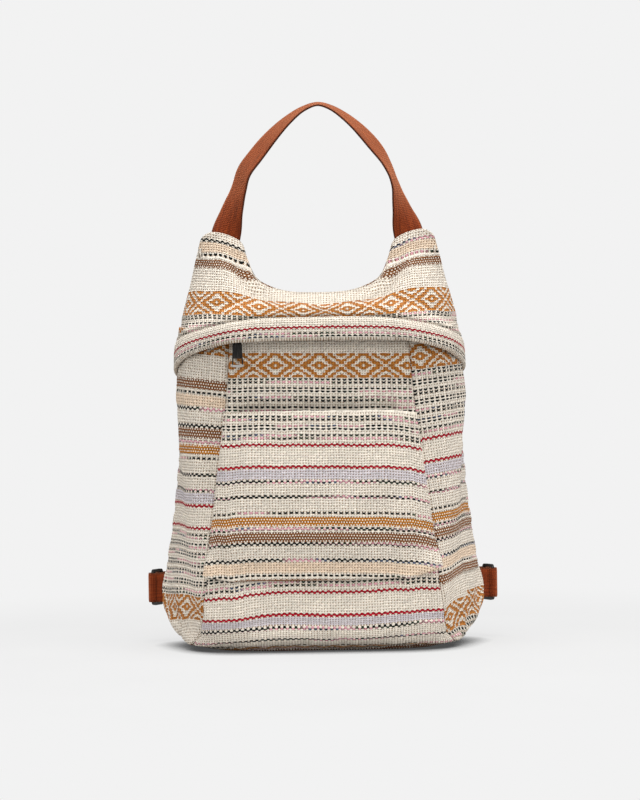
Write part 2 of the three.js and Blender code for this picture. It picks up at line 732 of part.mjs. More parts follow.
function addZip(name, zip, t, sink) {
  const place = zipPlace(zip, t, sink);
  const rest = zip.half - 9.5;
  const moved = (geometry, x) => geometry.translate(x, 0, 0).applyMatrix4(place);
  addPiece(name + "_tape_upper", moved(zipHalf(zip.half, 1), 0), colours.tape);
  addPiece(name + "_tape_lower", moved(zipHalf(zip.half, -1), 0), colours.tape);
  addPiece(name + "_stop_left", moved(box(0, 0, 1.4, 3, 6.6, 1.4), 1.9 - zip.half), colours.metal, 0.4);
  addPiece(name + "_stop_right", moved(box(0, 0, 1.4, 3, 6.6, 1.4), zip.half - 1.9), colours.metal, 0.4);
  addPiece(name + "_slider", moved(zipSlider(), -rest), colours.metal, 0.4);
  addPiece(name + "_pull", moved(zipPull(), -rest), colours.metal, 0.4);
}

addBase();
addBody();
addLining();
addPouch();
addPocket();
addYokes();
addFlap();
addHandle();
addTabs();
addRings();
addStraps();
addStrapSliders();
addZip("front_zip", frontZip, 0, 5);
addZip("back_zip", backZip, 6, 4.6);

export default part;
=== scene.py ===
import json
import math
from functools import partial

import bpy
import numpy as np
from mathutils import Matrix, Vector

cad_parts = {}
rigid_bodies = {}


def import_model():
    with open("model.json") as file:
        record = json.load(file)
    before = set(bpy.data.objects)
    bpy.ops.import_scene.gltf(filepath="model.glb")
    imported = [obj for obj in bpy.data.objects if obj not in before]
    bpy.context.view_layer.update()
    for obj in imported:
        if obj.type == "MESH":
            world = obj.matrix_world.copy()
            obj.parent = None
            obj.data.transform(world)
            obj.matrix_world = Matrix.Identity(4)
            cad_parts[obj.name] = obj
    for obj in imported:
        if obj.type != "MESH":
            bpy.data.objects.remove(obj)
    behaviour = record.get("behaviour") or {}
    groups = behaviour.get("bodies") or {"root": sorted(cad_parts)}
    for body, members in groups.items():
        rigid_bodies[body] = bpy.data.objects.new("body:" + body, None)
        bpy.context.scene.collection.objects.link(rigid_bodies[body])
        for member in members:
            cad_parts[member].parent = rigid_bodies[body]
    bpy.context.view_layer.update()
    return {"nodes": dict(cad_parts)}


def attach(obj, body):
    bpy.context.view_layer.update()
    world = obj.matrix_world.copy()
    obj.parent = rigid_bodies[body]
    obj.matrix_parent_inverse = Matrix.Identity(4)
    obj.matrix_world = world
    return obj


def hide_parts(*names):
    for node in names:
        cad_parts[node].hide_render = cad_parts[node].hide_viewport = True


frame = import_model()
scene = bpy.context.scene
print("frame loaded with", len(frame["nodes"]), "nodes")

# Lines plan of the body in millimetres, the same numbers as the part's source.
bodyPlan = {
    "heights": [0, 6, 20, 45, 90, 150, 220, 275, 311, 330],
    "frontMiddleY": [-36, -46, -55.5, -63, -66, -63, -54, -46, -45, -44.3],
    "frontQuarterY": [-32.5, -42.5, -52.5, -60.5, -63.5, -61, -53, -45.8, -45, -44.3],
    "frontSeamX": [110, 127, 125, 119, 112.5, 105, 96, 90.5, 88, 86],
    "frontSeamY": [-12, -25, -39, -49.5, -53, -52, -48, -45, -44.5, -43.6],
    "sideX": [112, 128, 141, 146, 141, 136, 133, 130, 129, 127],
    "sideY": [10, 4, -6, -15, -21, -24, -25, -24, -22, -20],
    "backSeamX": [106, 130, 146, 159, 154, 145, 139.5, 137, 137, 135],
    "backSeamY": [42, 50, 55, 58, 58, 55, 49, 42, 36, 32],
    "backQuarterY": [47, 57, 63, 66, 67, 65, 59, 52, 46.5, 43.5],
    "backMiddleY": [49, 59, 65, 68, 69, 67, 61, 52.5, 46.5, 43.5],
    "frontQuarter": 0.72,
    "backQuarter": 0.62,
}
bodyTop = 330.0
around = 12  # lines round the body
metre = 0.001
clothThick = 3.0
webThick = 2.2
webWide = 30.0
lineStep = 45  # about how far the lines of the body are apart
cameraPlace = {"away": 2200.0, "height": 246.0, "pixels": 2200.0, "roll": 0.9, "size": (640, 800)}


def ease(low, high, value):
    share = np.clip((np.asarray(value, float) - low) / (high - low), 0, 1)
    return share * share * (3 - 2 * share)


def mix(a, b, share):
    return a + (b - a) * share


def unit(v):
    return v / np.maximum(np.linalg.norm(v, axis=-1, keepdims=True), 1e-9)


def spread(*given):
    return np.broadcast_arrays(*[np.asarray(k, float) for k in given])


def heading(angle):
    return np.array([math.cos(angle), math.sin(angle), 0])


def heightLine(name, z):
    x = np.array(bodyPlan["heights"], float)
    y = np.array(bodyPlan[name], float)
    last = len(x) - 1
    k = np.arange(last + 1)
    before, after = np.maximum(k - 1, 0), np.minimum(k + 1, last)
    slopes = (y[after] - y[before]) / (x[after] - x[before])
    i = np.clip(np.searchsorted(x, z, side="right") - 1, 0, last - 1)
    step = x[i + 1] - x[i]
    s = (z - x[i]) / step
    rise = y[i] * (1 + 2 * s) * (1 - s) ** 2 + y[i + 1] * s * s * (3 - 2 * s)
    return rise + step * (slopes[i] * s * (1 - s) ** 2 - slopes[i + 1] * s * s * (1 - s))


def centripetal(p0, p1, p2, p3, s):
    d0, d1, d2 = [np.maximum(np.sqrt(np.linalg.norm(b - a, axis=-1, keepdims=True)), 1e-4)
                  for a, b in ((p0, p1), (p1, p2), (p2, p3))]
    a = ((p1 - p0) / d0 - (p2 - p0) / (d0 + d1) + (p2 - p1) / d1) * d1
    b = ((p2 - p1) / d1 - (p3 - p1) / (d1 + d2) + (p3 - p2) / d2) * d1
    s = s[..., None]
    return p1 + s * a + s * s * (3 * (p2 - p1) - 2 * a - b) + s ** 3 * (2 * (p1 - p2) + a + b)


# Body surface: t counts the lines round the bag from the front middle, z is the height.
def bodyPoint(t, z):
    t, z = spread(t, z)
    line = {name: heightLine(name, z) for name in bodyPlan if name[-1] in "XY"}
    right = [(bodyPlan["frontQuarter"] * line["frontSeamX"], line["frontQuarterY"]),
             *[(line[k + "X"], line[k + "Y"]) for k in ("frontSeam", "side", "backSeam")],
             (bodyPlan["backQuarter"] * line["backSeamX"], line["backQuarterY"])]
    loop = [(0 * z, line["frontMiddleY"]), *right, (0 * z, line["backMiddleY"]),
            *[(-x, y) for x, y in reversed(right)]]
    loop = np.stack([np.stack(p, -1) for p in loop], -2)
    i = np.floor(t).astype(int)
    near = [np.take_along_axis(loop, ((i + k) % around)[..., None, None], -2)[..., 0, :]
            for k in (-1, 0, 1, 2)]
    return np.concatenate([centripetal(*near, t - i), z[..., None]], -1)


def bodyNormal(t, z):
    t, z = spread(t, z)
    along = bodyPoint(t + 0.02, z) - bodyPoint(t - 0.02, z)
    up = bodyPoint(t, np.minimum(z + 0.5, bodyTop)) - bodyPoint(t, np.maximum(z - 0.5, 0))
    return unit(np.cross(along, up))


def bodyAt(t, z, out):
    return bodyPoint(t, z) + bodyNormal(t, z) * np.asarray(out, float)[..., None] + slumpAt(t, z)


def gridFaces(rows, columns, ring=False):
    r, c = np.meshgrid(np.arange(rows - 1), np.arange(columns if ring else columns - 1), indexing="ij")
    nextC = (c + 1) % columns
    quads = [r * columns + c, r * columns + nextC, (r + 1) * columns + nextC, (r + 1) * columns + c]
    return np.stack(quads, -1).reshape(-1, 4)


# The empty bag sags a little: a coarse shell of slightly long cloth, held at its top, base and back
# seams, settles in a cloth simulation, and the panels then follow the way that shell moved.
slump = {"columns": 120, "rows": 66, "frames": 22, "weight": 0.35, "cap": 6.0, "moved": None,
         "cloth": {"quality": 6, "mass": 0.25, "tension_stiffness": 15, "compression_stiffness": 15,
                   "bending_stiffness": 1.2, "shrink_min": -0.035, "vertex_group_mass": "held"}}


def slumpAt(t, z):
    if slump["moved"] is None:
        return 0.0
    t, z = spread(t, z)
    field, wrap, last = slump["moved"], slump["columns"], slump["rows"] - 1
    column = (t % around) / around * wrap
    row = np.clip(z / bodyTop * last, 0, last - 0.001)
    c, r = np.floor(column).astype(int), np.floor(row).astype(int)
    a, b = (column - c)[..., None], (row - r)[..., None]
    low, high = [field[k, c % wrap] * (1 - a) + field[k, (c + 1) % wrap] * a for k in (r, r + 1)]
    return low * (1 - b) + high * b


def settleShell():
    columns, rows = slump["columns"], slump["rows"]
    t, z = np.meshgrid(np.arange(columns) * around / columns, np.linspace(0, bodyTop, rows))
    rest = bodyPoint(t, z)
    mesh = bpy.data.meshes.new("slump_shell")
    mesh.from_pydata((rest.reshape(-1, 3) * metre).tolist(), [], gridFaces(rows, columns, True).tolist())
    shell = bpy.data.objects.new("slump_shell", mesh)
    scene.collection.objects.link(shell)
    frontSeam, backSeam = [np.minimum(np.abs(t - k), np.abs(t - around + k)) for k in (2, 4)]
    hold = np.maximum(np.maximum(ease(12, 2, z), ease(262, 292, z)), 0.9 * ease(0.3, 0.05, backSeam))
    hold = np.maximum(hold, 0.25 * ease(0.16, 0.02, frontSeam))
    held = shell.vertex_groups.new(name="held")
    for k, strength in enumerate(hold.ravel()):
        if strength > 0.01:
            held.add([k], float(strength), "REPLACE")
    cloth = shell.modifiers.new("settle", "CLOTH")
    for key, value in slump["cloth"].items():
        setattr(cloth.settings, key, value)
    cloth.settings.effector_weights.gravity = slump["weight"]
    cloth.collision_settings.use_collision = False
    cloth.point_cache.frame_start, cloth.point_cache.frame_end = 1, slump["frames"]
    for number in range(1, slump["frames"] + 1):
        scene.frame_set(number)
    settled = shell.evaluated_get(bpy.context.evaluated_depsgraph_get()).data
    places = np.zeros(len(settled.vertices) * 3)
    settled.vertices.foreach_get("co", places)
    moved = places.reshape(rest.shape) / metre - rest
    size = np.linalg.norm(moved, axis=-1, keepdims=True)
    moved = moved * slump["cap"] * np.tanh(size / slump["cap"]) / np.maximum(size, 1e-6)
    print("shell settled by at most", round(float(size.max()), 1), "mm, mean", round(float(size.mean()), 2))
    bpy.data.objects.remove(shell)
    bpy.data.meshes.remove(mesh)
    scene.frame_set(1)
    return moved


slump["moved"] = settleShell()


def openCurve(points, count):
    p = np.array(points, float)
    p = np.vstack([2 * p[0] - p[1], p, 2 * p[-1] - p[-2]])
    place = np.linspace(0, len(points) - 1, count)
    i = np.minimum(place.astype(int), len(points) - 2)
    return centripetal(p[i], p[i + 1], p[i + 2], p[i + 3], place - i)


def runLength(points, axis=0):
    steps = np.linalg.norm(np.diff(points, axis=axis), axis=-1)
    start = np.zeros_like(np.take(steps, [0], axis))
    return np.concatenate([start, np.cumsum(steps, axis)], axis)


def spaced(place, run, points):
    return np.stack([np.interp(place, run, points[:, k]) for k in range(3)], -1)


# Slow dents and creases of cloth, the same on every run: a sum of waves from a seeded list.
def crumple(a, b, size, seed, count=7):
    pick = np.random.default_rng(seed)
    total = 0
    for k in range(count):
        turn = pick.uniform(0, math.pi)
        wave = 2 * math.pi / (size * pick.uniform(0.6, 1.7))
        phase = pick.uniform(0, 2 * math.pi)
        total = total + np.sin((a * math.cos(turn) + b * math.sin(turn)) * wave + phase)
    return total / math.sqrt(count)


# Place of a point in the picture.
def imageRow(p, roll=cameraPlace["roll"]):
    depth = (cameraPlace["away"] + p[..., 1]) / cameraPlace["pixels"]
    lean = math.radians(roll)
    rise = p[..., 0] * math.sin(lean) + (p[..., 2] - cameraPlace["height"]) * math.cos(lean)
    return cameraPlace["size"][1] / 2 - rise / depth


def imageColumn(p):
    across = p[..., 0] * cameraPlace["pixels"] / (cameraPlace["away"] + p[..., 1])
    return cameraPlace["size"][0] / 2 + across


# Mesh pieces: millimetre points become metres, and cloth maps stay in millimetres. A piece is named for
# the node that it replaces, with the word for its make added.
def addPiece(name, points, faces, mapName, uv, slot, body="bag"):
    mesh = bpy.data.meshes.new(name)
    mesh.from_pydata((points.reshape(-1, 3) * metre).tolist(), [], [list(f) for f in faces])
    corner = np.zeros(len(mesh.loops), np.int32)
    mesh.loops.foreach_get("vertex_index", corner)
    layer = mesh.uv_layers.new(name=mapName)
    layer.data.foreach_set("uv", np.asarray(uv, np.float32).reshape(-1, 2)[corner].ravel())
    mesh.validate()
    mesh.shade_smooth()
    mesh.materials.append(finishes[slot])
    piece = bpy.data.objects.new(name, mesh)
    scene.collection.objects.link(piece)
    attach(piece, body)
    node = name.replace("_cloth", "").replace("_webbing", "").replace("_plate", "")
    if node in frame["nodes"]:
        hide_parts(node)
    return piece


def gridPiece(name, points, uv, flip=False, slot="weave", ring=False):
    faces = gridFaces(*points.shape[:2], ring)
    if flip:
        faces = faces[:, ::-1]
    piece = addPiece(name, points, faces, "clothMm", uv, slot)
    wide = float(runLength(points, 1)[:, -1].mean()) * metre


# Colours and nodes. An upper-case kind is an operation of the Math node.
def linearColour(hexText):
    parts = [int(hexText[i:i + 2], 16) / 255 for i in (1, 3, 5)]
    return tuple(c / 12.92 if c <= 0.04045 else ((c + 0.055) / 1.055) ** 2.4 for c in parts) + (1.0,)


def coloursOf(plan):
    return {k: linearColour(v) for k, v in plan.items() if isinstance(v, str)}


def addNode(tree, kind, *inputs, out=0, stops=(), ramp="LINEAR", **settings):
    if kind.isupper():
        kind, settings["operation"] = "Math", kind
    if kind == "Mix":  # a share, the colour under and the colour over
        inputs, out, settings["data_type"] = [dict(zip((0, 6, 7), inputs))], 2, "RGBA"
    node = tree.nodes.new("ShaderNode" + kind)
    for key, value in settings.items():
        setattr(node, key, value)
    named = inputs and isinstance(inputs[0], dict)
    for place, value in inputs[0].items() if named else enumerate(inputs):
        if isinstance(value, bpy.types.NodeSocket):
            tree.links.new(value, node.inputs[place])
        else:
            node.inputs[place].default_value = value
    if stops:
        elements = node.color_ramp.elements
        node.color_ramp.interpolation = ramp
        while len(elements) < len(stops):
            elements.new(1.0)
        for element, (place, colour) in zip(elements, stops):
            element.position = place
            element.color = (*colour, 1.0)[:4]
    return node.outputs[out] if node.outputs else None


def newMaterial(name, build):
    material = bpy.data.materials.new(name)
    material.use_nodes = True
    material.node_tree.nodes.clear()
    add = partial(addNode, material.node_tree)
    add("OutputMaterial", build(add))
    return material


# Jacquard cotton, woven on a dobby loom from thick slub yarn: matt, pitted between the threads,
# with coloured weft bands, floats in small steps and rows of space-dyed yarn.
jacquard = {
    "repeat": 259.0,
    "cell": 2.69,  # spacing of the warp threads
    "row": 2.667,  # spacing of the weft threads
    "dash": 5.38,  # two warp threads
    "diamondPitch": 16,  # warp threads from one diamond to the next
    "cream": "#EFE5D6",
    "lilac": "#D8D0D3",
    "mustard": "#B8731A",
    "gold": "#CB8235",  # mustard floats, lying loose and catching more light
    "brown": "#83522D",
    "peach": "#F2DAC0",
    "red": "#AE1228",
    "black": "#161A18",
    "green": "#3F4F3A",
    "pink": "#E3A6B0",
    "slate": "#5A667F",
    "pit": "#AE9680",  # tint of the shade between the threads
    "bands": [(0, "cream"), (116, "lilac"), (126, "cream"), (163, "mustard"), (173, "cream"),
              (179, "brown"), (188.5, "cream"), (209, "peach"), (219.5, "cream"), (225, "brown"),
              (234, "cream")],
    "hatch": [(0, 0), (163, 1), (173, 0), (179, 1), (188.5, 0), (225, 1), (234, 0)],
    "zones": [(0, (1, 0, 0)), (24.2, (0, 1, 0)), (88.4, (0, 0, 0)), (93.5, (0, 0, 1)), (112, (0, 0, 0))],
    "rings": [(0, 0), (1.5, 1), (7.2, 0), (12.3, 1), (18.6, 0), (22.2, 1), (27.2, 0), (30.8, 1), (35.4, 0)],
    "ringReach": 40,
    "yarns": [(0.0, "black"), (0.49, "black"), (0.515, "green"), (0.54, "pink"), (0.66, "pink"),
              (0.68, "slate"), (0.71, "black")],
    "redRows": [92, 114],
    "dyedRows": [129, 144, 176, 191, 207],
    "dashRows": [160, 222],
    "pairStart": 22.85,  # rows of dashes come in pairs
    "pairPitch": 9.35,
}


def jacquardCotton(add):
    repeat, cell, row, pitch = [jacquard[k] for k in ("repeat", "cell", "row", "diamondPitch")]
    colour = coloursOf(jacquard)
    uv = add("UVMap", uv_map="clothMm")
    # threads wander by half a millimetre
    wander = add("TexNoise", {"Vector": uv, "Scale": 0.11, "Detail": 2.0}, out=1)
    shift = add("VectorMath", wander, (1.3, 1.3, 0), (-0.65, -0.65, 0), operation="MULTIPLY_ADD")
    u = add("SeparateXYZ", add("VectorMath", uv, shift, operation="ADD"))
    tall = u.node.outputs[1]
    v = add("FLOORED_MODULO", tall, repeat)

    # pits at the crossings of the square ground weave
    cellU, cellV = add("MULTIPLY", u, 1 / cell), add("MULTIPLY", tall, 1 / row)
    floorU, floorV = add("FLOOR", cellU), add("FLOOR", cellV)
    pitU, pitV = [add("SUBTRACT", add("FRACT", k), 0.5) for k in (cellU, cellV)]
    pitAway = add("MULTIPLY_ADD", pitV, pitV, add("MULTIPLY", pitU, pitU))
    chance = add("TexWhiteNoise", {"Vector": add("CombineXYZ", floorU, floorV)}, noise_dimensions="2D")
    pitSize = add("MapRange", chance, 0.0, 1.0, 0.05, 0.13)
    pit = add("MapRange", pitAway, 0.012, pitSize, 1.0, 0.0, interpolation_type="SMOOTHSTEP")
    # alternate rows are offset by half a thread in the hatched bands
    offU = add("MULTIPLY_ADD", add("FLOORED_MODULO", floorV, 2.0), 0.5, cellU)
    dotU = add("SUBTRACT", add("FRACT", offU), 0.5)
    dotAway = add("MULTIPLY_ADD", pitV, pitV, add("MULTIPLY", dotU, dotU))
    dot = add("MapRange", dotAway, 0.05, 0.088, 1.0, 0.0)

    # toothed edges of the coloured bands
    wave = add("MapRange", add("PINGPONG", u, cell), 1.08, 1.61, -1.0, 1.0)
    share = add("MULTIPLY", add("MULTIPLY_ADD", wave, 0.35, v), 1 / repeat)
    ground = add("ValToRGB", share, ramp="CONSTANT",
                 stops=[(at / repeat, colour[name]) for at, name in jacquard["bands"]])
    hatch = add("ValToRGB", share, ramp="CONSTANT",
                stops=[(at / repeat, (on, on, on)) for at, on in jacquard["hatch"]])
    zones = add("ValToRGB", add("MULTIPLY", v, 1 / repeat), ramp="CONSTANT",
                stops=[(at / repeat, zone) for at, zone in jacquard["zones"]])
    diamondZone, dashZone, napZone = add("SeparateColor", zones).node.outputs

    def addRows(mask, place, rows, wide):
        for at in jacquard[rows]:
            mask = add("MAXIMUM", mask, add("COMPARE", place, at, wide))
        return mask

    # rows of dashes, each a shallow cup over two threads
    along = add("FRACT", add("MULTIPLY", u, 1 / jacquard["dash"]))
    away = add("ABSOLUTE", add("SUBTRACT", along, 0.5))
    bowl = add("MapRange", away, 0.05, 0.335, 0.22, -0.32)
    thick = add("MapRange", away, 0.12, 0.335, 1.0, 0.6)
    bowlV = add("SUBTRACT", v, bowl)
    fromPair = add("SUBTRACT", bowlV, jacquard["pairStart"])
    halfPitch = jacquard["pairPitch"] / 2
    pairPlace = add("FLOORED_MODULO", fromPair, jacquard["pairPitch"])
    pairRow = add("COMPARE", add("ABSOLUTE", add("SUBTRACT", pairPlace, halfPitch)), 1.56, thick)
    dashRow = addRows(add("MULTIPLY", pairRow, dashZone), bowlV, "dashRows", thick)
    dash = add("MULTIPLY", dashRow, add("LESS_THAN", away, 0.335))

    # meander rows in red and in dyed yarn
    red = addRows(0.0, add("MULTIPLY_ADD", wave, -0.58, v), "redRows", 1.2)
    meander = addRows(0.0, add("MULTIPLY_ADD", wave, -0.75, v), "dyedRows", 1.02)

    # space-dyed yarn: black, green, pink and slate along one row, the two rows of a meander apart
    yarnRow = add("FLOOR", add("MULTIPLY", fromPair, 1 / halfPitch))
    lowerRow = add("MULTIPLY", add("GREATER_THAN", wave, 0.0), meander)
    yarnRow = add("MULTIPLY_ADD", lowerRow, 0.13, yarnRow)
    dyeAt = add("CombineXYZ", add("MULTIPLY", u, 0.0092), add("MULTIPLY", yarnRow, 1.73))
    dye = add("TexNoise", {"Vector": dyeAt, "Scale": 1.0, "Detail": 0.4, "Roughness": 0.4})
    dyed = add("ValToRGB", dye, stops=[(at, colour[name]) for at, name in jacquard["yarns"]])

    # diamonds in steps of the weave, each ring a share of the way out
    bandRow = add("MULTIPLY", v, 1 / row)
    stepU, stepV = [add("MULTIPLY_ADD", add("ADD", add("FLOOR", k), 0.5), 0.72, add("MULTIPLY", k, 0.28))
                    for k in (cellU, bandRow)]
    placeU = add("FLOORED_MODULO", stepU, pitch)
    outU = add("ABSOLUTE", add("SUBTRACT", placeU, pitch / 2))
    outV = add("ABSOLUTE", add("SUBTRACT", stepV, 4.5))
    ring = add("MULTIPLY_ADD", outV, 1.3 * row, add("MULTIPLY", outU, cell))
    figure = add("ValToRGB", add("MULTIPLY", ring, 1 / jacquard["ringReach"]), ramp="CONSTANT",
                 stops=[(at / jacquard["ringReach"], (on, on, on)) for at, on in jacquard["rings"]])
    diamond = add("MULTIPLY", figure, diamondZone)
    # painted shade: brown in the gaps between float rows and between threads
    rowEdge = add("ABSOLUTE", add("SUBTRACT", add("FRACT", bandRow), 0.5))
    floatGapShade = add("MapRange", rowEdge, 0.26, 0.46, 0.0, 0.62)
    threadGapShade = add("MapRange", add("ABSOLUTE", dotU), 0.3, 0.48, 0.0, 0.5)
    floatGapShade = add("MAXIMUM", floatGapShade, threadGapShade)
    floats = add("Mix", floatGapShade, colour["gold"], colour["brown"])

    # colours, one layer over the other
    hatched = add("MULTIPLY", hatch, dot)
    dyedMask = add("MAXIMUM", dash, meander)
    paint = add("Mix", diamond, ground, floats)
    paint = add("Mix", dyedMask, paint, dyed)
    paint = add("Mix", red, paint, colour["red"])

    # slubs along the weft, uneven dye, and dark pits
    slub, fibre = [add("TexNoise", {"Vector": add("VectorMath", uv, size, operation="MULTIPLY"),
                                    "Scale": 1.0, "Detail": detail})
                   for size, detail in (((0.035, 0.42, 1.0), 3.0), ((0.9, 1.6, 1.0), 2.0))]
    tone = add("MapRange", slub, 0.3, 0.7, 0.9, 1.05)
    tone = add("MULTIPLY", tone, add("MapRange", fibre, 0.25, 0.75, 0.91, 1.05))
    calm = add("MAXIMUM", hatch, napZone)
    pitted = add("MULTIPLY", pit, add("MapRange", calm, 0.0, 1.0, 1.0, 0.85))
    crownAt = add("CombineXYZ", *[add("FLOOR", add("ADD", k, 0.5)) for k in (cellU, cellV)])
    luck = add("TexWhiteNoise", {"Vector": crownAt}, noise_dimensions="2D")
    tone = add("MULTIPLY", tone, add("MapRange", luck, 0.0, 1.0, 0.86, 1.06))
    paint = add("Mix", 1.0, paint, tone, blend_type="MULTIPLY")
    paint = add("Mix", pitted, paint, colour["pit"], blend_type="MULTIPLY")
    paint = add("Mix", hatched, paint, colour["cream"])

    # relief: yarn crowns, floats standing proud, fine fibre
    raised = add("MAXIMUM", dyedMask, add("MAXIMUM", red, diamond))
    relief = add("MULTIPLY_ADD", pitAway, 1.7, add("MULTIPLY", raised, 0.5))
    for layer, height in ((pitted, -0.55), (hatched, 0.5), (fibre, 0.7)):
        relief = add("MULTIPLY_ADD", layer, height, relief)
    bump = add("Bump", {"Strength": 1.0, "Distance": 0.0012, "Height": relief})
    return add("BsdfPrincipled", {"Base Color": paint, "Roughness": 0.93, "IOR": 1.45, "Normal": bump,
                                  "Specular IOR Level": 0.12, "Sheen Weight": 0.06, "Sheen Roughness": 0.6})


# Cotton webbing, woven in close ribs and dyed rust brown: matt, with a tight woven edge on both sides,
# painted dark there as shade.
webbing = {"rib": 1.8, "pick": 2.4, "base": "#581B06", "light": "#8C3A14", "dark": "#3C1204",
           "selvedge": "#2A0C04", "sheen": "#E89C72"}


def cottonWebbing(add):
    colour = coloursOf(webbing)
    uv = add("UVMap", uv_map="clothMm")
    u = add("SeparateXYZ", uv)
    v = u.node.outputs[1]
    # the real rib is under a millimetre, drawn coarser so that it shows
    rib = add("MULTIPLY", u, 1 / webbing["rib"])
    half = add("MULTIPLY", add("FLOORED_MODULO", add("FLOOR", rib), 2.0), 0.5)
    pick = add("MULTIPLY_ADD", v, 1 / webbing["pick"], half)
    ribWave = add("ABSOLUTE", add("SINE", add("MULTIPLY", rib, math.pi)))
    pickWave = add("SINE", add("MULTIPLY", pick, 2 * math.pi))
    crown = add("MULTIPLY_ADD", pickWave, 0.28, ribWave)
    slubAt = add("VectorMath", uv, (0.05, 0.5, 1), operation="MULTIPLY")
    slub = add("TexNoise", {"Vector": slubAt, "Scale": 1.0, "Detail": 3.0})
    fibre = add("TexNoise", {"Vector": uv, "Scale": 1.3, "Detail": 2.0})
    base = add("ValToRGB", slub, stops=[(0.3, colour["base"]), (0.72, colour["light"])])
    shade = add("MapRange", crown, -0.1, 0.75, 0.62, 0.0)
    paint = add("Mix", shade, base, colour["dark"])
    # painted shade: both edges of the band are darkened to stand for their shaded thickness
    edge = add("MapRange", add("ABSOLUTE", v), 13.4, 14.8, 0.0, 0.95)
    paint = add("Mix", edge, paint, colour["selvedge"])
    relief = add("MULTIPLY_ADD", fibre, 0.5, crown)
    bump = add("Bump", {"Strength": 0.6, "Distance": 0.00045, "Height": relief})
    return add("BsdfPrincipled", {"Base Color": paint, "Roughness": 0.85, "IOR": 1.46, "Normal": bump,
                                  "Specular IOR Level": 0.12, "Sheen Weight": 0.9,
                                  "Sheen Tint": colour["sheen"]})


# Polyester lining, a thin plain weave: smoother than the outer cloth, with a faint grid of threads.
lining = {"thread": 1.1, "base": "#C9BBA2", "light": "#D8CCB6", "grid": "#A89A80"}


def polyesterLining(add):
    colour = coloursOf(lining)
    uv = add("UVMap", uv_map="clothMm")
    grid = add("TexChecker", {"Vector": uv, "Scale": 1 / lining["thread"]}, out=1)
    cloud = add("TexNoise", {"Vector": uv, "Scale": 0.03, "Detail": 4.0})
    base = add("ValToRGB", cloud, stops=[(0.3, colour["base"]), (0.7, colour["light"])])
    paint = add("Mix", add("MULTIPLY", grid, 0.12), base, colour["grid"])
    bump = add("Bump", {"Strength": 0.3, "Distance": 0.0002, "Height": grid})
    return add("BsdfPrincipled", {"Base Color": paint, "Roughness": 0.62, "Normal": bump,
                                  "Sheen Weight": 0.1})


# Zip tape, a herringbone of dark polyester: matt with a slight sheen, ribs a millimetre wide.
zipTape = {"rib": 1.0, "zig": 1.6, "base": "#37312B", "dark": "#1D1A17"}
inMm = (1000, 1000, 1000)


def polyesterTape(add):
    place = add("VectorMath", add("TexCoord", out=3), inMm, operation="MULTIPLY")
    split = add("SeparateXYZ", place)
    lift = add("ADD", split.node.outputs[2], add("PINGPONG", split, zipTape["zig"]))
    wave = add("SINE", add("MULTIPLY", lift, 2 * math.pi / zipTape["rib"]))
    fade = add("TexNoise", {"Vector": place, "Scale": 0.2, "Detail": 3.0})
    tone = add("MULTIPLY", add("MapRange", wave, -1.0, 1.0, 0.0, 0.55), fade)
    paint = add("Mix", tone, linearColour(zipTape["dark"]), linearColour(zipTape["base"]))
    bump = add("Bump", {"Strength": 0.5, "Distance": 0.0002, "Height": wave})
    return add("BsdfPrincipled", {"Base Color": paint, "Roughness": 0.75, "Normal": bump,
                                  "Sheen Weight": 0.1})


# Zinc alloy die cast and lacquered gunmetal: dark, half glossy, rubbed brighter in streaks.
# the pale colour and the height below which it is laid make a painted highlight on the pull's lower bar,
# standing for a reflection
darkMetal = {"base": "#191817", "rubbed": "#4E4943", "bare": "#AEABA8", "wornBelow": -34.6}


def lacqueredZinc(add, worn=False):
    colour = coloursOf(darkMetal)
    place = add("VectorMath", add("TexCoord", out=3), inMm, operation="MULTIPLY")
    streakAt = add("VectorMath", place, (0.9, 0.9, 0.12), operation="MULTIPLY")
    streak = add("TexNoise", {"Vector": streakAt, "Scale": 1.4, "Detail": 4.0})
    grain = add("TexNoise", {"Vector": place, "Scale": 2.4, "Detail": 3.0})
    rubbed = add("MapRange", streak, 0.5, 0.78, 0.0, 0.7)
    paint = add("Mix", rubbed, colour["base"], colour["rubbed"])
    if worn:  # painted highlight: the lower bar is coloured bright to stand for the lamps' reflection on it
        low = add("SeparateXYZ", add("UVMap", uv_map="plateMm")).node.outputs[1]
        bare = add("MapRange", low, darkMetal["wornBelow"], darkMetal["wornBelow"] + 0.3, 0.9, 0.0)
        paint = add("Mix", bare, paint, colour["bare"])
    rough = add("MapRange", streak, 0.3, 0.7, 0.3, 0.46)
    bump = add("Bump", {"Strength": 0.15, "Distance": 0.0002, "Height": grain})
    return add("BsdfPrincipled", {"Base Color": paint, "Metallic": 0.9, "Roughness": rough, "Normal": bump,
                                  "Coat Weight": 0.14, "Coat Roughness": 0.2})


finishes = {
    "weave": newMaterial("jacquard_cotton", jacquardCotton),
    "webbing": newMaterial("cotton_webbing", cottonWebbing),
    "lining": newMaterial("polyester_lining", polyesterLining),
    "tape": newMaterial("polyester_zip_tape", polyesterTape),
    "metal": newMaterial("lacquered_zinc", lacqueredZinc),
    # finish of the zip pulls, with a painted highlight on the lower bar
    "dark_metal": newMaterial("worn_zinc", partial(lacqueredZinc, worn=True)),
}
print("materials made")


# Body panels: each is a sheet on the body surface that dips into its seams and turns inwards there.
seam = {"deep": 2.4, "wide": 2.4, "turn": 6.0}
# axis, row at the edge and the row inside it
edges = {"left": (1, 0, 1), "right": (1, -1, -2), "low": (0, 0, 1), "high": (0, -1, -2)}


def seamDip(away):
    return seam["deep"] * np.exp(-(away / seam["wide"]) ** 2)


def fromEdge(run):
    return np.minimum(run, run[:, -1:] - run)


def fromMiddle(run):
    return run - run[:, -1:] / 2


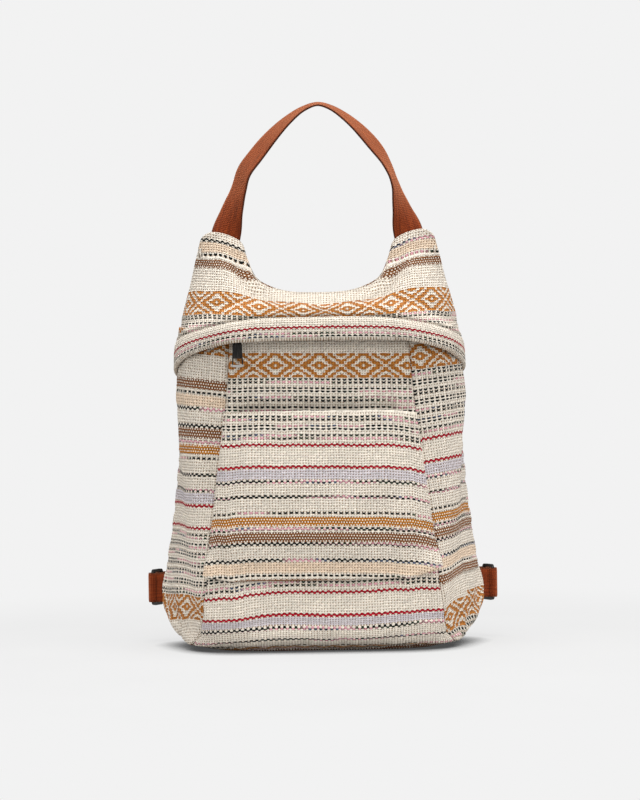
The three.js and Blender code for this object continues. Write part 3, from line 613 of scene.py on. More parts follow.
def turnIn(points, normals, uv, turn, sides=("left", "right")):
    for side in sides:
        axis, edge, inner = edges[side]
        normal, rim = np.take(normals, [edge], axis), np.take(uv, [edge], axis)
        added = (np.take(points, [edge], axis) - normal * turn, normal,
                 rim + unit(rim - np.take(uv, [inner], axis)) * turn)
        points, normals, uv = [np.concatenate((old, new) if edge else (new, old), axis)
                               for new, old in zip(added, (points, normals, uv))]
    return points, uv


def bodyPanel(name, start, end, rows, columns, out, mapping):
    t, z = np.meshgrid(np.linspace(start, end, columns), rows)
    surface = bodyPoint(t, z)
    run = runLength(surface, 1)
    points = bodyAt(t, z, out(t, z, run) - seamDip(fromEdge(run)))
    uv = mapping(t, z, run, surface)
    gridPiece(name, *turnIn(points, bodyNormal(t, z), uv, seam["turn"], edges))


def bodyRows(high, step):
    near = np.array([0, 1.2, 2.6, 4.2, 6, 8, 10.5, 13, 16, 20], float)
    return np.concatenate([near, np.linspace(22, high, int((high - 22) / step) + 1)])


frontPanel = {
    "phase": 353.0,  # image row where the diamond band begins
    # the lowest rows, where the cloth turns under, run into the brown band: painted shade along the bottom
    # edge
    "lowRows": [540, 590, 611, 613, 619, 623, 634.5, 643.2, 645.2, 648.4, 656],
    "lowCloth": [42, 92, 114, 116, 126, 129, 144, 160, 163, 179, 188],
    "split": 150.0,  # the lower cloth starts behind the pocket
    "diamondShift": 21.52,
}


def frontOut(t, z, run):
    edge = fromEdge(run)
    puff = 1.6 * crumple(run, z, 90, 3) * ease(0, 30, edge)
    brow = 4.2 * ease(237, 251, z) * ease(283, 258, z) - 2.6 * ease(247, 236, z) * ease(60, 110, z)
    return puff * ease(8, 40, z) * ease(311, 270, z) + brow * ease(0, 22, edge)


def frontMap(t, z, run, points):
    row = imageRow(points)
    upper = row - frontPanel["phase"] + 1.6 * ease(372, 404, row)
    slant = 5 * ease(-30, -125, points[..., 0]) - 7 * ease(20, 125, points[..., 0])
    lower = np.interp(row - slant, frontPanel["lowRows"], frontPanel["lowCloth"])
    u = fromMiddle(run) + frontPanel["diamondShift"]
    return np.stack([u, np.where(z > frontPanel["split"], upper, lower)], -1)


bodyPanel("front_panel_cloth", -2, 2, bodyRows(311, 2.2), 121, frontOut, frontMap)

gusset = {
    "right": {"phase": 345.0, "rows": [350, 430, 510, 570, 610], "slope": [0.11, 0.19, 0.19, 0.33, 0.48],
              "tuckTop": 74},
    "left": {"phase": 616.0, "rows": [380, 440, 500, 560, 600], "slope": [0.11, 0.05, 0.02, 0.04, -0.03],
             "tuckTop": 58},
    "tuckHeights": [0, 10, 30, 60, 100], "tuckShares": [0.33, 0.34, 0.36, 0.38, 0.38],
    "tuckOut": 2.0, "tuckIn": 3.5, "tucked": 9.0,
}


# distance of a point from the line of the corner tuck, and its place across the gusset from the front seam
def tuckAway(t, z, run):
    wide = run[:, -1:]
    across = np.where(t < around / 2, run / wide, 1 - run / wide)
    return (across - np.interp(z, gusset["tuckHeights"], gusset["tuckShares"])) * wide, across


def gussetOut(t, z, run):
    away, across = tuckAway(t, z, run)
    belly = 1.5 * np.sin(np.pi * across) * ease(10, 60, z)
    front = gusset["tuckOut"] * ease(1.2, -1.2, away) * np.exp(-(away / 13) ** 2)
    rear = gusset["tuckIn"] * ease(-1.2, 1.2, away) * np.exp(-(away / 7) ** 2)
    fold = (front - rear) * ease(84, 52, z) * ease(0, 12, z)
    return belly + fold + 1.3 * crumple(run * 1.6, z, 70, 11) * np.sin(np.pi * across) * ease(4, 30, z)


def gussetMap(t, z, run, points, side):
    plan = gusset[side]
    row, column = imageRow(points), imageColumn(points)
    slope = np.interp(row, plan["rows"], plan["slope"])
    hidden = gusset["tucked"] * ease(-1.0, 1.0, tuckAway(t, z, run)[0]) * (z < plan["tuckTop"])
    if side == "right":
        v = row - plan["phase"] + slope * (column - column[:, :1])
        return np.stack([run + 12 + hidden, v + 0.45 * hidden], -1)
    v = plan["phase"] - row - slope * (column[:, -1:] - column)
    return np.stack([run - run[:, -1:] + 9 - hidden, v], -1)


for side, start in (("right", 2), ("left", 8)):
    bodyPanel("gusset_cloth_" + side, start, start + 2, bodyRows(321, 2.4), 61, gussetOut,
              partial(gussetMap, side=side))


backPanel = {"puff": 1.5, "phase": 24, "yokePhase": 264, "top": 287, "facing": (297, 329.6)}


def backOut(t, z, run):
    held = ease(0, 40, fromEdge(run)) * ease(4, 40, z) * ease(backPanel["top"], 250, z)
    return backPanel["puff"] * crumple(run, z, 110, 23) * held


def backMap(t, z, run, points):
    return np.stack([fromMiddle(run), bodyTop - z + backPanel["phase"]], -1)


def facingOut(t, z, run):
    return 0 * run


bodyPanel("back_panel_cloth", 4, 8, bodyRows(backPanel["top"], 3.0), 111, backOut, backMap)
bodyPanel("back_facing_cloth", 4, 8, np.linspace(*backPanel["facing"], 14), 111, facingOut, backMap)

base = {"middle": (0, 6.0), "phase": 205,
        "rings": [(1.0, 0.5), (0.985, 0.15), (0.95, 0.0), (0.8, 0.3), (0.55, 0.9), (0.25, 1.4), (0.02, 1.5)]}


def addBase():
    t = np.linspace(0, around, 145)[:-1]
    rim = bodyPoint(t, 0 * t)[:, :2]
    middle = np.array(base["middle"])
    points = np.stack([np.concatenate([mix(middle, rim, share), 0 * rim[:, :1] + z], 1)
                       for share, z in base["rings"]])
    uv = points[..., :2] + np.array([0, base["phase"]])
    gridPiece("base_panel_cloth", points, uv, ring=True, flip=True)


addBase()
print("body panels made")


# Patch pocket: a turned hem at its mouth, a soft pouch, and a fold that stands out at both lower ends.
pocket = {"low": 76.0, "high": 235.2, "pouch": 9.0, "thick": 2.6, "foldLeft": 80.0, "foldMiddle": 73.0,
          "foldRight": 86.0, "standLeft": 3.2, "standRight": 5.0, "lean": 2.6, "hem": 1.3, "turn": 5.0}


def pocketLift(t, z):
    low, high = pocket["low"], pocket["high"]
    rise = ease(low, low + 46, z) * mix(0.86, 1, ease(high, high - 60, z))
    return 0.6 + pocket["pouch"] * (1 - (t / 2) ** 2) * rise


# rows of height and stand-off, laid out as grids beside the places along the panel
def layRows(t, rows):
    z, out = [np.stack([row[k] + 0 * t for row in rows]) for k in (0, 1)]
    return t + 0 * z, z, out


def addPocket():
    t = np.linspace(-2, 2, 121)
    side = np.abs(t) / 2
    fold = mix(pocket["foldMiddle"], np.where(t < 0, pocket["foldLeft"], pocket["foldRight"]), side ** 2.2)
    stand = np.where(t < 0, pocket["standLeft"], pocket["standRight"]) * ease(0.35, 1, side) + 1.2
    top = pocket["high"] + 1.2 - 1.6 * ease(0.6, 1, side) * (t > 0)
    thick, hem = pocket["thick"], pocket["hem"]
    lifted = lambda z: pocketLift(t, z) - pocket["lean"] * ((side < 0.97) * ease(top - 9, top, z)) ** 1.5
    rows = []
    for k in np.linspace(0, 1, 6):  # hem inside the mouth
        z = mix(top - 14, top - hem, k)
        rows.append((z, lifted(z) + 0.2))
    for a in math.pi * np.linspace(0.2, 0.8, 4):  # turned edge
        z = top - hem + hem * math.sin(a)
        rows.append((z, lifted(z) + thick / 2 - (thick / 2 - 0.2) * math.cos(a)))
    for k in np.linspace(0, 1, 72) ** 1.15:  # outer face down to the fold
        z = mix(top - hem, fold + 2, k)
        rows.append((z, np.maximum(lifted(z) + thick, (stand + 2.2) * ease(fold + 42, fold + 2, z))))
    for a in math.pi * np.linspace(0.2, 0.8, 4):  # fold
        rows.append((fold + 2 - 2 * math.sin(a), (stand + 2.2) * (0.5 + 0.5 * math.cos(a)) + 0.3))
    for k in np.linspace(0, 1, 3):  # back up behind the face
        rows.append((fold + 2 + 8 * k, 0.3))
    t, z, out = layRows(t, rows)
    surface = bodyPoint(t, z)
    normals = bodyNormal(t, z)
    run = runLength(surface, 1)
    edge = fromEdge(run)
    dip = seamDip(edge) * (1 - 0.55 * ease(fold + 60, fold + 10, z))
    calm = ease(0, 30, edge) * ease(pocket["high"], 200, z) * ease(70, 110, z)
    points = bodyAt(t, z, out - dip + 0.9 * crumple(run, z, 60, 31) * calm)
    row = imageRow(surface + normals * (out * ease(fold, fold + 12, z))[..., None])
    sag = 2.6 * ease(0.55, 1, t / 2)
    v = np.maximum(row - frontPanel["phase"] - sag + 1.7, 58.7)
    uv = np.stack([fromMiddle(run) + frontPanel["diamondShift"], v], -1)
    gridPiece("front_pocket_cloth", *turnIn(points, normals, uv, pocket["turn"]), flip=True)


addPocket()
print("pocket made")


# Yokes: from the ridge over the flap, or the top of the back, up to the rolled top edge.
yoke = {
    "topEdge": [(119.6, 398), (115.4, 409.0), (105, 414.2), (77, 404), (70.5, 386), (61, 366.5), (37, 355),
                (0, 352)],
    "earY": 2.0, "neckY": -8.0, "frontBulge": 7.0, "backBulge": 6.0, "tall": 60.0, "roll": 1.4, "turn": 4.0,
    "drops": (2.5, 6.0, 10.0), "reach": 3.985,
    # lines of the pattern: cloth place, then reach from the middle and image row along it
    "lines": [
        (207, [70, 92, 108, 120], [252.5, 241.5, 238.3, 237.5]),
        (222, [70, 77, 84, 94, 101, 120], [264.5, 260.7, 257, 253.5, 252.5, 253]),
        (225, [62, 65, 70, 76, 84, 98, 120], [282, 277.5, 271, 267, 262, 257.8, 257]),
        (234, [50, 62, 70, 82, 94, 101, 122], [287, 281.4, 277.5, 270, 266, 265.8, 264.5]),
        (259, [0, 10, 32, 55, 70, 78, 95, 124, 136, 160],
         [304.5, 303.5, 301, 297, 294.5, 292.5, 289, 289, 291.5, 297]),
        (283, [0, 30, 60, 80, 110, 136, 160], [317.2, 316.6, 315.5, 314, 312, 313.5, 318])],
}
flap = {"top": [326.5, 325.5, 321, 311, 302], "low": [304, 303.5, 301, 288, 268],
        "stand": [15, 15, 16.5, 8, 4.8], "rise": [22, 22, 18, 8, 2], "roll": 3.4, "turn": 5.0}

halfTop = [(-x, 0.0, z) for x, z in yoke["topEdge"]]
topPoints = openCurve(halfTop + [(-x, y, z) for x, y, z in reversed(halfTop[:-1])], 3000)
topRun = runLength(topPoints)
frontMarks, backMarks = np.linspace(-4, 4, 641), np.linspace(4, 8, 321)
frontRun, backRun = [runLength(bodyPoint(k, bodyTop)) for k in (frontMarks, backMarks)]


def yokePoint(front, t, v):
    t, v = spread(t, v)
    marks, run = (frontMarks, frontRun) if front else (backMarks, backRun)
    share = np.interp(t, marks, run / run[-1])
    place = share if front else 1 - share
    x, z = [np.interp(place, topRun / topRun[-1], topPoints[:, k]) for k in (0, 2)]
    edge = np.minimum(share, 1 - share)
    ear = ease(40, 76, np.abs(x))
    away = mix(1.1, mix(0.3, webThick / 2 + 1, ear) + clothThick, ease(0, 0.045, edge))
    side = -1 if front else 1
    top = np.stack([x, mix(yoke["neckY"], yoke["earY"], ear) + side * away, z], -1)
    low = bodyPoint(t, bodyTop)
    bulge = yoke["frontBulge"] if front else yoke["backBulge"]
    swell = bulge * np.sin(np.pi * v) * np.minimum(1, 5 * edge)
    return low + (top - low) * v[..., None] + np.stack([0 * swell, side * 0.75 * swell, 0.5 * swell], -1)


def frontSkin(t, height, out):
    t, height, out = spread(t, height, out)
    bodyZ = np.minimum(height, bodyTop)
    v = np.maximum(height - bodyTop, 0) / yoke["tall"]
    here = yokePoint(True, t, v)
    up = yokePoint(True, t, v + 0.02) - here
    beside = yokePoint(True, t + 0.02, v) - yokePoint(True, t - 0.02, v)
    share = ease(0, 6, height - bodyTop)[..., None]
    normal = unit(mix(bodyNormal(t, bodyZ), unit(np.cross(beside, up)), share))
    return np.where((height <= bodyTop)[..., None], bodyPoint(t, bodyZ), here) + normal * out[..., None]


def alongFlap(name, t):
    values = np.array(flap[name], float)
    place = np.minimum(np.abs(t), 3.999)
    i = np.floor(place).astype(int)
    s = place - i
    a, b, c = values[np.abs(i - 1)], values[i], values[i + 1]
    d = np.where(i + 2 > 4, 2 * values[4] - values[3], values[np.minimum(i + 2, 4)])
    return b + 0.5 * s * (c - a + s * (2 * a - 5 * b + 4 * c - d + s * (3 * (b - c) + d - a)))


def flapShoulder(t):
    return np.maximum(alongFlap("stand", t) * 0.8, 4.1)


def levelRun(points):
    run = runLength(points * np.array([1, 1, 0]), 1)
    return run - run[:, points.shape[1] // 2][:, None]


def yokeMap(points):
    row, reach = imageRow(points, 0.0), np.abs(imageColumn(points) - cameraPlace["size"][0] / 2)
    rows = [np.interp(reach, columns, at) for cloth, columns, at in yoke["lines"]]
    places = [line[0] for line in yoke["lines"]]
    v = places[0] - (rows[0] - row) * 1.02
    for k in range(len(rows) - 1):
        share = (row - rows[k]) / np.maximum(rows[k + 1] - rows[k], 1.5)
        v = np.where(share > 0, places[k] + (places[k + 1] - places[k]) * np.minimum(share, 1), v)
    v = np.where(row > rows[-1], places[-1] + (row - rows[-1]) * 1.3, v)
    return np.stack([levelRun(points) + 15 + frontPanel["diamondShift"], v], -1)


# rolled top edge, then down inside
def rolledTop(edge, side):
    turns = [edge + yoke["roll"] * np.array([0, side * (1 - math.cos(a)), math.sin(a)])
             for a in math.pi * np.linspace(0.15, 1, 6)]
    return np.stack(turns + [turns[-1] - np.array([0, 0, drop]) for drop in yoke["drops"]])


def yokePiece(name, grid, normal, uv, side):
    low = grid[:1] - normal[:1] * 5
    full = np.concatenate([low, grid, rolledTop(grid[-1], side)], 0)
    more = np.stack([uv[-1] - [0, k] for k in range(1, 10)])
    uv = np.concatenate([uv[:1] + [0, 5], uv, more], 0)
    outward = np.stack([0.8 * np.sign(full[..., 0]), 0 * full[..., 0] - 0.6 * side, 0 * full[..., 0]], -1)
    gridPiece(name, *turnIn(full, outward, uv, yoke["turn"]))


def addFrontYoke():
    t = np.linspace(-yoke["reach"], yoke["reach"], 201)
    high = alongFlap("top", t)
    root = high + alongFlap("rise", t) + 6
    shoulder = flapShoulder(t) - 0.4
    height = mix(high + 0.6, 390, np.linspace(0, 1, 64)[:, None] ** 1.15)
    t = t + 0 * height
    out = shoulder * ease(root, high, height) - 2.2 * np.exp(-((height - high - 0.6) / 1.8) ** 2)
    grid = frontSkin(t, height, out)
    crease = 0.8 * crumple(t * lineStep, height, 45, 41)
    crease = crease * ease(0, 12, height - high - 2) * ease(390, 370, height)
    below = runLength(grid[::-1], 0)[::-1]
    corner = np.exp(-((np.abs(grid[..., 0]) - 64) / 20) ** 2)
    ridge, valley = 3.2 * np.exp(-((below - 6) / 5) ** 2), 6.0 * np.exp(-((below - 21) / 8) ** 2)
    crease = crease + corner * (ridge - valley)
    normal = unit(frontSkin(t, height, out + 1) - grid)
    yokePiece("front_yoke_cloth", grid + normal * crease[..., None], normal, yokeMap(grid), 1)


def addBackYoke():
    t, v = np.meshgrid(np.linspace(4.008, 7.992, 151), np.linspace(0.004, 1, 48))
    grid = yokePoint(False, t, v)
    normal = unit(np.cross(np.gradient(grid, axis=1), np.gradient(grid, axis=0)))
    high = v * yoke["tall"]
    side = fromEdge(runLength(grid, 1))
    crease = 0.8 * crumple(t * lineStep, high, 45, 43)
    crease = crease * ease(0, 10, high) * ease(60, 48, high) * ease(0, 15, side)
    grid = grid + normal * (crease - seamDip(high))[..., None]
    uv = np.stack([levelRun(grid), backPanel["yokePhase"] - high], -1)
    yokePiece("back_yoke_cloth", grid, normal, uv, -1)


addFrontYoke()
addBackYoke()


# Flap: from the ridge seam down the face, round a soft rolled edge and back up to the zip.
def addFlap():
    t = np.linspace(-yoke["reach"], yoke["reach"], 241)
    high, low, stand = [alongFlap(name, t) for name in ("top", "low", "stand")]
    shoulder = flapShoulder(t)
    roll = np.minimum(flap["roll"], stand * 0.42)
    face = stand + 0.6
    rows, shares = [(high - 0.2, shoulder - 5)], [0 * t - 0.2]
    for k in np.linspace(0, 1, 30):
        swell = np.interp(k, [0, 0.06, 0.2, 0.5, 1], [0, 0.22, 0.6, 0.9, 1])
        rows.append((mix(high + 0.2, low + roll, k), swell * (face - shoulder + 1.0) + shoulder - 1.0))
        shares.append(k * (high - low - roll) / (high - low))
    for k in np.linspace(0.1, 1, 10):
        a = math.pi * k
        rows.append((low + roll - roll * math.sin(a), face - roll * (1 - math.cos(a))))
        shares.append(1 + 0.12 * k + 0 * t)
    back = np.minimum(high - 3, 322.5)
    for k in np.linspace(0.1, 1, 12):
        rows.append((mix(low + roll, back, k), mix(face - 2 * roll, 0.5, ease(0.55, 1, k))))
        shares.append(1.12 + 0.8 * k + 0 * t)
    run = runLength(frontSkin(t, 0.5 * (high + low), stand))
    t, z, out = layRows(t, rows)
    wavy = 0.7 * crumple(t * lineStep, z, 60, 51)
    points = frontSkin(t, z, np.maximum(out + wavy * (out > 3), 0.4))
    v = np.maximum(92 - 27 * (np.stack(shares) - 0.45), 79.0)
    uv = np.stack([run - run[len(run) // 2] + 0 * v, v], -1)
    normals = unit(frontSkin(t, z, out + 1) - frontSkin(t, z, out))
    gridPiece("front_flap_cloth", *turnIn(points, normals, uv, flap["turn"]), flip=True)


addFlap()
print("yokes and flap made")


# Webbing: a soft-edged band swept along its middle line and turned about it.
def bandPiece(name, middle, wide, thick, turn=0.0):
    along = unit(np.gradient(middle, axis=0))
    wide = unit(wide - along * (wide * along).sum(-1, keepdims=True))
    level = unit(np.cross(along, wide))
    lane = np.linspace(-1, 1, 17)
    turn = (np.radians(turn) + np.zeros(len(middle)))[:, None]
    flat = wide * np.cos(turn) + level * np.sin(turn)
    proud = level * np.cos(turn) - wide * np.sin(turn)
    half = thick / 2 * (0.6 + 0.4 * (1 - np.abs(lane) ** 14))
    across = lane * webWide / 2
    faces = [middle[:, None] + flat[:, None] * across[:, None] + proud[:, None] * (side * half)[:, None]
             for side in (-1, 1)]
    points = np.concatenate([faces[0], faces[1][:, ::-1]], 1)
    uv = np.stack(np.meshgrid(np.concatenate([across, across[::-1]]), runLength(middle))[::-1], -1)
    ring = points.shape[1]
    last = (len(middle) - 1) * ring
    caps = [[k, k + 1, ring - 2 - k, ring - 1 - k] for k in range(len(lane) - 1)]
    caps += [[last + k for k in reversed(cap)] for cap in caps]
    addPiece(name, points, [*gridFaces(len(middle), ring, True), *caps], "clothMm", uv, "webbing")


handle = {
    "line": [(-97.1, 389.6), (-91.6, 412.1), (-85.5, 435.2), (-78.3, 457.2), (-72.2, 475.7), (-60.4, 491.7),
             (-45, 510.2), (-28.6, 526.3), (-12.8, 537.5), (2, 542.3), (15, 538.7), (29, 529.8), (44.5, 516),
             (62.4, 494.7), (71.4, 479.7), (78.6, 461.6), (83.4, 442.7), (90.4, 414.6), (95.8, 390.5)],
    "reach": [0, 24, 44, 67, 80, 97, 109, 120, 133, 156, 176, 191],
    "leftTurn": [0, 6, 38, 56, 60, 56, 56, 57, 60, 68, 75, 78],
    "rightTurn": [0, 8, 47, 71, 75, 70, 64, 62, 64, 70, 76, 78]}


def addHandle():
    dense = openCurve([(x, yoke["earY"], z) for x, z in handle["line"]], 2400)
    run = runLength(dense)
    length = run[-1]
    place = np.linspace(0, length, 221)
    middle = spaced(place, run, dense)
    along = unit(np.gradient(middle, axis=0))
    reach = np.minimum(place, length - place)
    raw = np.where(place < length / 2, *[np.interp(reach, handle["reach"], handle[side + "Turn"])
                                         for side in ("left", "right")])
    soft = np.hanning(11) / np.hanning(11).sum()
    turn = np.convolve(np.pad(raw, 5, mode="edge"), soft, mode="valid")
    flat = np.stack([along[:, 2], 0 * place, -along[:, 0]], -1)
    bandPiece("carry_handle_webbing", middle, flat, webThick, turn=-turn)


addHandle()

tab = {"height": 56.0, "eye": 16.0, "outer": 5.0, "inner": 3.1, "angle": math.radians(18), "thick": 1.85,
       "half": 1.0, "leg": (-3.0, 1.0, 3.5)}
ring = {"reach": 14.0, "turn": math.radians(122)}
seamSpot = bodyPoint(4.0, tab["height"])
strapBar = seamSpot + tab["eye"] * heading(tab["angle"]) + ring["reach"] * heading(ring["turn"])
upright = np.array([0.0, 0, 1])


def addTab(side, name):
    radius, half = (tab["outer"] + tab["inner"]) / 2, tab["half"]
    turn = math.asin(half / radius)
    path = [(x, -half) for x in tab["leg"]]
    path += [(tab["eye"] + radius * math.cos(a), radius * math.sin(a))
             for a in np.linspace(math.pi + turn + 0.1, 3 * math.pi - turn - 0.1, 21)]
    path += [(x, half) for x in reversed(tab["leg"])]
    local = openCurve([(x, y, 0.0) for x, y in path], 90)
    turned = local[:, :1] * heading(tab["angle"]) + local[:, 1:2] * heading(tab["angle"] + math.pi / 2)
    middle = (turned + seamSpot) * np.array([side, 1, 1])
    bandPiece(name, middle, np.tile(upright, (len(middle), 1)), tab["thick"])


# Stations of a shoulder strap: anchored on the back yoke, down the back, and round to the ring.
strap = {"anchors": (0.52, 0.32, 0.12), "clear": (0, 0, 3.0), "place": 5.4, "lift": webThick / 2 + 1.7,
         "shoulder": [((49.5, 65, 309), (1, 0, 0.14))],
         "top": (53, 74, 283), "step": (8, 3.6, -33), "wide": (33, 0, 8),
         "hip": [((104.5, 94, 94), (0.82, 0, 0.57)), ((120, 93.5, 75), (0.5, 0, 0.86)),
                 ((138, 87, 62), (0.12, 0, 0.99))],
         "eyeOuter": 7.4, "eyeInner": 5.2, "eyeGap": 0.32, "leave": math.radians(163), "doubledFrom": 6.5,
         "samples": 241, "loopSamples": 260}


def strapLine():
    stations = []
    for v, clear in zip(strap["anchors"], strap["clear"]):
        here = yokePoint(False, strap["place"], v)
        up = yokePoint(False, strap["place"], v + 0.05) - here
        beside = yokePoint(False, strap["place"] + 0.05, v) - here
        point = here + unit(np.cross(beside, up)) * strap["lift"] + np.array([0, clear, 0])
        stations.append((point, -unit(beside)))
    stations += strap["shoulder"]
    run = unit(np.array(strap["wide"], float))
    stations += [(np.array(strap["top"], float) + k * np.array(strap["step"]), run) for k in range(6)]
    stations += strap["hip"]
    stations += [(strapBar + heading(strap["leave"]) * away, upright) for away in (17, 6.3)]
    points, wide = zip(*stations)
    doubled = strap["doubledFrom"] / (len(points) - 1)
    return openCurve(points, strap["samples"]), openCurve(wide, strap["samples"]), doubled


def addStrap(side, name):
    line, wide, doubled = strapLine()
    mirror = np.array([side, 1, 1])
    share = np.linspace(0, 1, strap["samples"])
    # one layer above the slider, two below it, joined round the bar of the ring
    upper, below = share <= doubled + 0.004, share >= doubled
    bandPiece(name, line[upper] * mirror, wide[upper] * mirror, webThick)
    along = unit(np.gradient(line, axis=0))
    level = unit(np.cross(along, unit(wide)))[below] * webThick / 2
    radius = (strap["eyeOuter"] + strap["eyeInner"]) / 2
    eye = np.array([strapBar + radius * heading(strap["leave"] - a)
                    for a in np.linspace(strap["eyeGap"], 2 * math.pi - strap["eyeGap"], 25)])
    first, second = line[below] - level, (line[below] + level)[::-1]
    if np.linalg.norm(first[-1] - eye[0]) > np.linalg.norm(first[-1] - eye[-1]):
        eye = eye[::-1]
    loop = np.concatenate([first[:-1], eye, second[1:]])
    loopWide = np.concatenate([wide[below][:-1], np.tile(upright, (25, 1)), wide[below][::-1][1:]])
    run = runLength(loop)
    even = np.linspace(0, run[-1], strap["loopSamples"])
    bandPiece(name + "_loop", spaced(even, run, loop) * mirror, spaced(even, run, loopWide) * mirror,
              webThick - 0.15)


for addBand, name in ((addTab, "strap_tab_webbing_"), (addStrap, "shoulder_strap_webbing_")):
    addBand(1, name + "right")
    addBand(-1, name + "left")
print("webbing made")

# Lining and inner pouch: thin loose cloth inside the bag.
inner = {"deep": 13.4, "floor": (0, 6.0, 8.6), "floorRings": (0.04, 0.35, 0.7, 0.95), "perLine": 48,
         "pouch": [(302, -5.2), (250, -5.6), (200, -5.4), (180, -5.6), (175.2, -7.4), (180, -9.4),
                   (200, -9.6), (250, -9.3), (302, -9.6)]}


def addLining():
    t, z = np.meshgrid(np.linspace(0, around, 97)[:-1], np.concatenate([[8.5], np.linspace(9, 276, 60)]))
    grid = bodyAt(t, z, 1.2 * crumple(t * 40, z, 60, 61) - inner["deep"])
    middle = np.array(inner["floor"])
    full = np.stack([*[mix(grid[0], middle, share) for share in inner["floorRings"]], *grid])
    uv = np.stack([t[0] * inner["perLine"] + 0 * full[..., 0], full[..., 2]], -1)
    gridPiece("lining_cloth", full, uv, slot="lining", ring=True)


def addPouch():
    path = openCurve([(z, out, 0) for z, out in inner["pouch"]], 90)
    t, z = np.meshgrid(np.linspace(-1.75, 1.75, 61), path[:, 0])
    points = bodyAt(t, z, path[:, 1][:, None] + 0.25 * crumple(t * lineStep, z, 40, 71))
    uv = np.stack([t * inner["perLine"], runLength(path)[:, None] + 0 * t], -1)
    gridPiece("front_pouch_cloth", points, uv, slot="lining")


addLining()
addPouch()

# Zip pull: a bevelled plate that widens downwards, with an eye for the slider and a window at its low end.
pull = {"length": 36.8, "half": 5.6, "neck": 2.5, "thick": 1.8, "eye": 3.1, "hole": 1.7, "legReach": 3.5,
        "edge": 0.3, "lift": 6.9, "end": 9.5, "corner": 1.4,
        "front": (0.0, 316.0, 86.0, 5.0, 1.0), "back": (6.0, 292.0, 84.0, 4.6, -1.0)}


def addPull(side):
    t, height, half, sink, way = pull[side]
    low, wide, edge, corner = -pull["length"], pull["half"], pull["edge"], pull["corner"]
    arc = lambda x, y, r, a, b, n: [(x + r * math.cos(k), y + r * math.sin(k)) for k in np.linspace(a, b, n)]
    turn = math.asin(pull["neck"] / pull["eye"])
    lefts = [(-pull["neck"], -11), (-4.5, -15),
             *arc(corner - wide, low + corner, corner, math.pi, 1.5 * math.pi, 6)]
    window = [(corner - wide, low + 2.2), (corner + 0.2 - wide, low + 8.5)]
    outline, window = [half + [(-x, y) for x, y in reversed(half)] for half in (lefts, window)]
    loops = [outline + arc(0, 0, pull["eye"], -turn, math.pi + turn, 21),
             arc(0, 0, pull["hole"], 0, 2 * math.pi, 17)[:-1], window]
    curve = bpy.data.curves.new(side + "_outline", "CURVE")
    curve.dimensions, curve.fill_mode = "2D", "BOTH"
    curve.extrude, curve.bevel_depth, curve.bevel_resolution = pull["thick"] / 2 - edge, edge, 2
    curve.offset = -edge
    for loop in loops:
        spline = curve.splines.new("POLY")
        spline.points.add(len(loop) - 1)
        spline.use_cyclic_u = True
        for point, (x, y) in zip(spline.points, loop):
            point.co = (x, y, 0, 1)
    drawn = bpy.data.objects.new(side + "_outline", curve)
    plate = bpy.data.meshes.new_from_object(drawn)
    spots = np.zeros(len(plate.vertices) * 3)
    plate.vertices.foreach_get("co", spots)
    spots = spots.reshape(-1, 3)
    faces = [list(f.vertices) for f in plate.polygons]
    for made, store in ((drawn, bpy.data.objects), (curve, bpy.data.curves), (plate, bpy.data.meshes)):
        store.remove(made)
    out = bodyNormal(t, height)
    along = np.array([way, 0, 0])
    lift = pull["lift"] + pull["thick"] / 2 - sink
    start = bodyPoint(t, height) + out * lift - along * (pull["legReach"] + half - pull["end"])
    points = start + spots @ np.stack([along, np.cross(out, along), out])
    piece = addPiece(side + "_zip_pull_plate", points, faces, "plateMm", spots[:, :2], "dark_metal",
                     side + "_zip_tag")
    piece.data.set_sharp_from_angle(angle=math.radians(40))


addPull("front")
addPull("back")

# The other hardware stays as it is in the frame, with softened edges and its own finish.
hardware = {"metal": (0.0004, ("_ring", "_slider", "_stop")), "tape": (0.000125, ("_tape",))}
for group, (width, words) in hardware.items():
    for name in frame["nodes"]:
        if any(word in name for word in words):
            node = frame["nodes"][name]
            node.data.materials.clear()
            node.data.materials.append(finishes[group])
            soften = node.modifiers.new("softEdge", "BEVEL")
            soften.width, soften.segments = width, 2
            soften.limit_method, soften.angle_limit = "ANGLE", math.radians(35)
print("lining and hardware made")

# Stage: pale floor and background, soft light from above and in front.
studio = {"background": "#F2F2F2", "floorSize": 8.0, "floorGlow": 0.75, "world": 0.41, "aim": (0, 0, 0.25),
          "lamps": {"key": ((0.4, -1.9, 1.9), 1.6, 10.0), "top": ((0.0, -0.25, 2.5), 1.5, 56.0),
                    "left": ((-1.9, -1.2, 0.7), 1.5, 23.0), "right": ((1.9, -1.1, 0.7), 1.5, 31.0)}}
shown = linearColour(studio["background"])


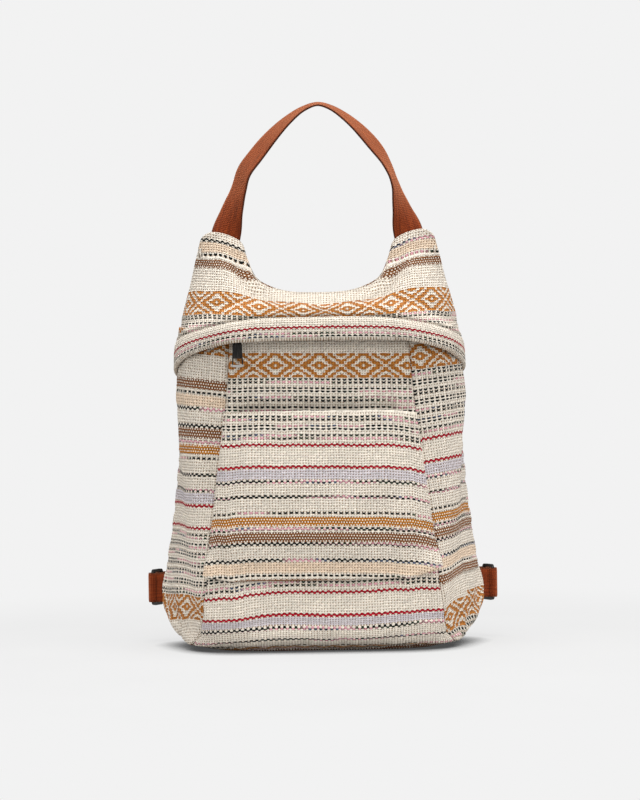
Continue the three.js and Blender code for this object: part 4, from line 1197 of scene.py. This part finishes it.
# Studio paper: matt white, as bright as the background, dark only where the bag meets it, where a contact
# shadow is painted from ambient occlusion.
def studioPaper(add):
    rays = add("LightPath")
    seen = add("MAXIMUM", rays, rays.node.outputs["Is Glossy Ray"])
    away = add("VectorMath", add("NewGeometry"), out=1, operation="LENGTH")
    fade = add("MapRange", away, 0.34, 0.75, 0.0, 1.0, interpolation_type="SMOOTHSTEP")
    grain = add("TexNoise", {"Scale": 60.0, "Detail": 2.0})
    bright = add("MapRange", rays, 0.0, 1.0, 4.2, 1.0)  # throws more light back than the picture shows
    pale = add("MULTIPLY", add("MapRange", grain, 0.3, 0.7, 0.13, 0.137), bright)
    # painted shadow: ambient occlusion darkens the paper's colour and glow where the bag meets it
    contactShade = add("AmbientOcclusion", {"Distance": 0.03}, out=1, samples=8)
    contactShade = add("MapRange", contactShade, 0.2, 0.85, add("MapRange", rays, 0.0, 1.0, 0.75, 0.1), 1.0)
    paper = add("BsdfDiffuse", {"Color": add("MULTIPLY", pale, contactShade)})
    lit = add("MULTIPLY", add("MULTIPLY", seen, contactShade), studio["floorGlow"])
    near = add("AddShader", paper, add("Emission", {"Color": shown, "Strength": lit}))
    return add("MixShader", fade, near, add("Emission", {"Color": shown, "Strength": seen}))


def addStage():
    bpy.ops.mesh.primitive_plane_add(size=studio["floorSize"], location=(0, 1.0, 0))
    floor = bpy.context.object
    floor.name = "studio_floor"
    floor.data.materials.append(newMaterial("studio_paper", studioPaper))

    world = bpy.data.worlds.new("studio")
    world.use_nodes = True
    world.node_tree.nodes.clear()
    add = partial(addNode, world.node_tree)
    rays = add("LightPath")
    seen = add("MAXIMUM", rays, rays.node.outputs["Is Glossy Ray"])
    seen = add("MAXIMUM", seen, rays.node.outputs["Is Transmission Ray"])
    light = add("Background", {"Color": (1, 1, 1, 1), "Strength": studio["world"]})
    backdrop = add("Background", {"Color": shown, "Strength": 1.0})
    add("OutputWorld", add("MixShader", seen, light, backdrop))
    scene.world = world

    for name, (place, size, power) in studio["lamps"].items():
        data = bpy.data.lights.new(name + "_softbox", "AREA")
        data.energy, data.size = power, size
        lamp = bpy.data.objects.new(name + "_softbox", data)
        lamp.location = place
        lamp.rotation_euler = (Vector(studio["aim"]) - Vector(place)).to_track_quat("-Z", "Y").to_euler()
        scene.collection.objects.link(lamp)


def addCamera():
    data = bpy.data.cameras.new("camera")
    data.sensor_width, data.sensor_fit = 36, "AUTO"
    data.lens = data.sensor_width * cameraPlace["pixels"] / max(cameraPlace["size"])
    camera = bpy.data.objects.new("camera", data)
    camera.location = (0, -cameraPlace["away"] * metre, cameraPlace["height"] * metre)
    camera.rotation_euler = (math.pi / 2, math.radians(cameraPlace["roll"]), 0)
    scene.collection.objects.link(camera)
    scene.camera = camera


addStage()
addCamera()
scene.view_settings.view_transform = "Standard"
print("stage, light and camera set")
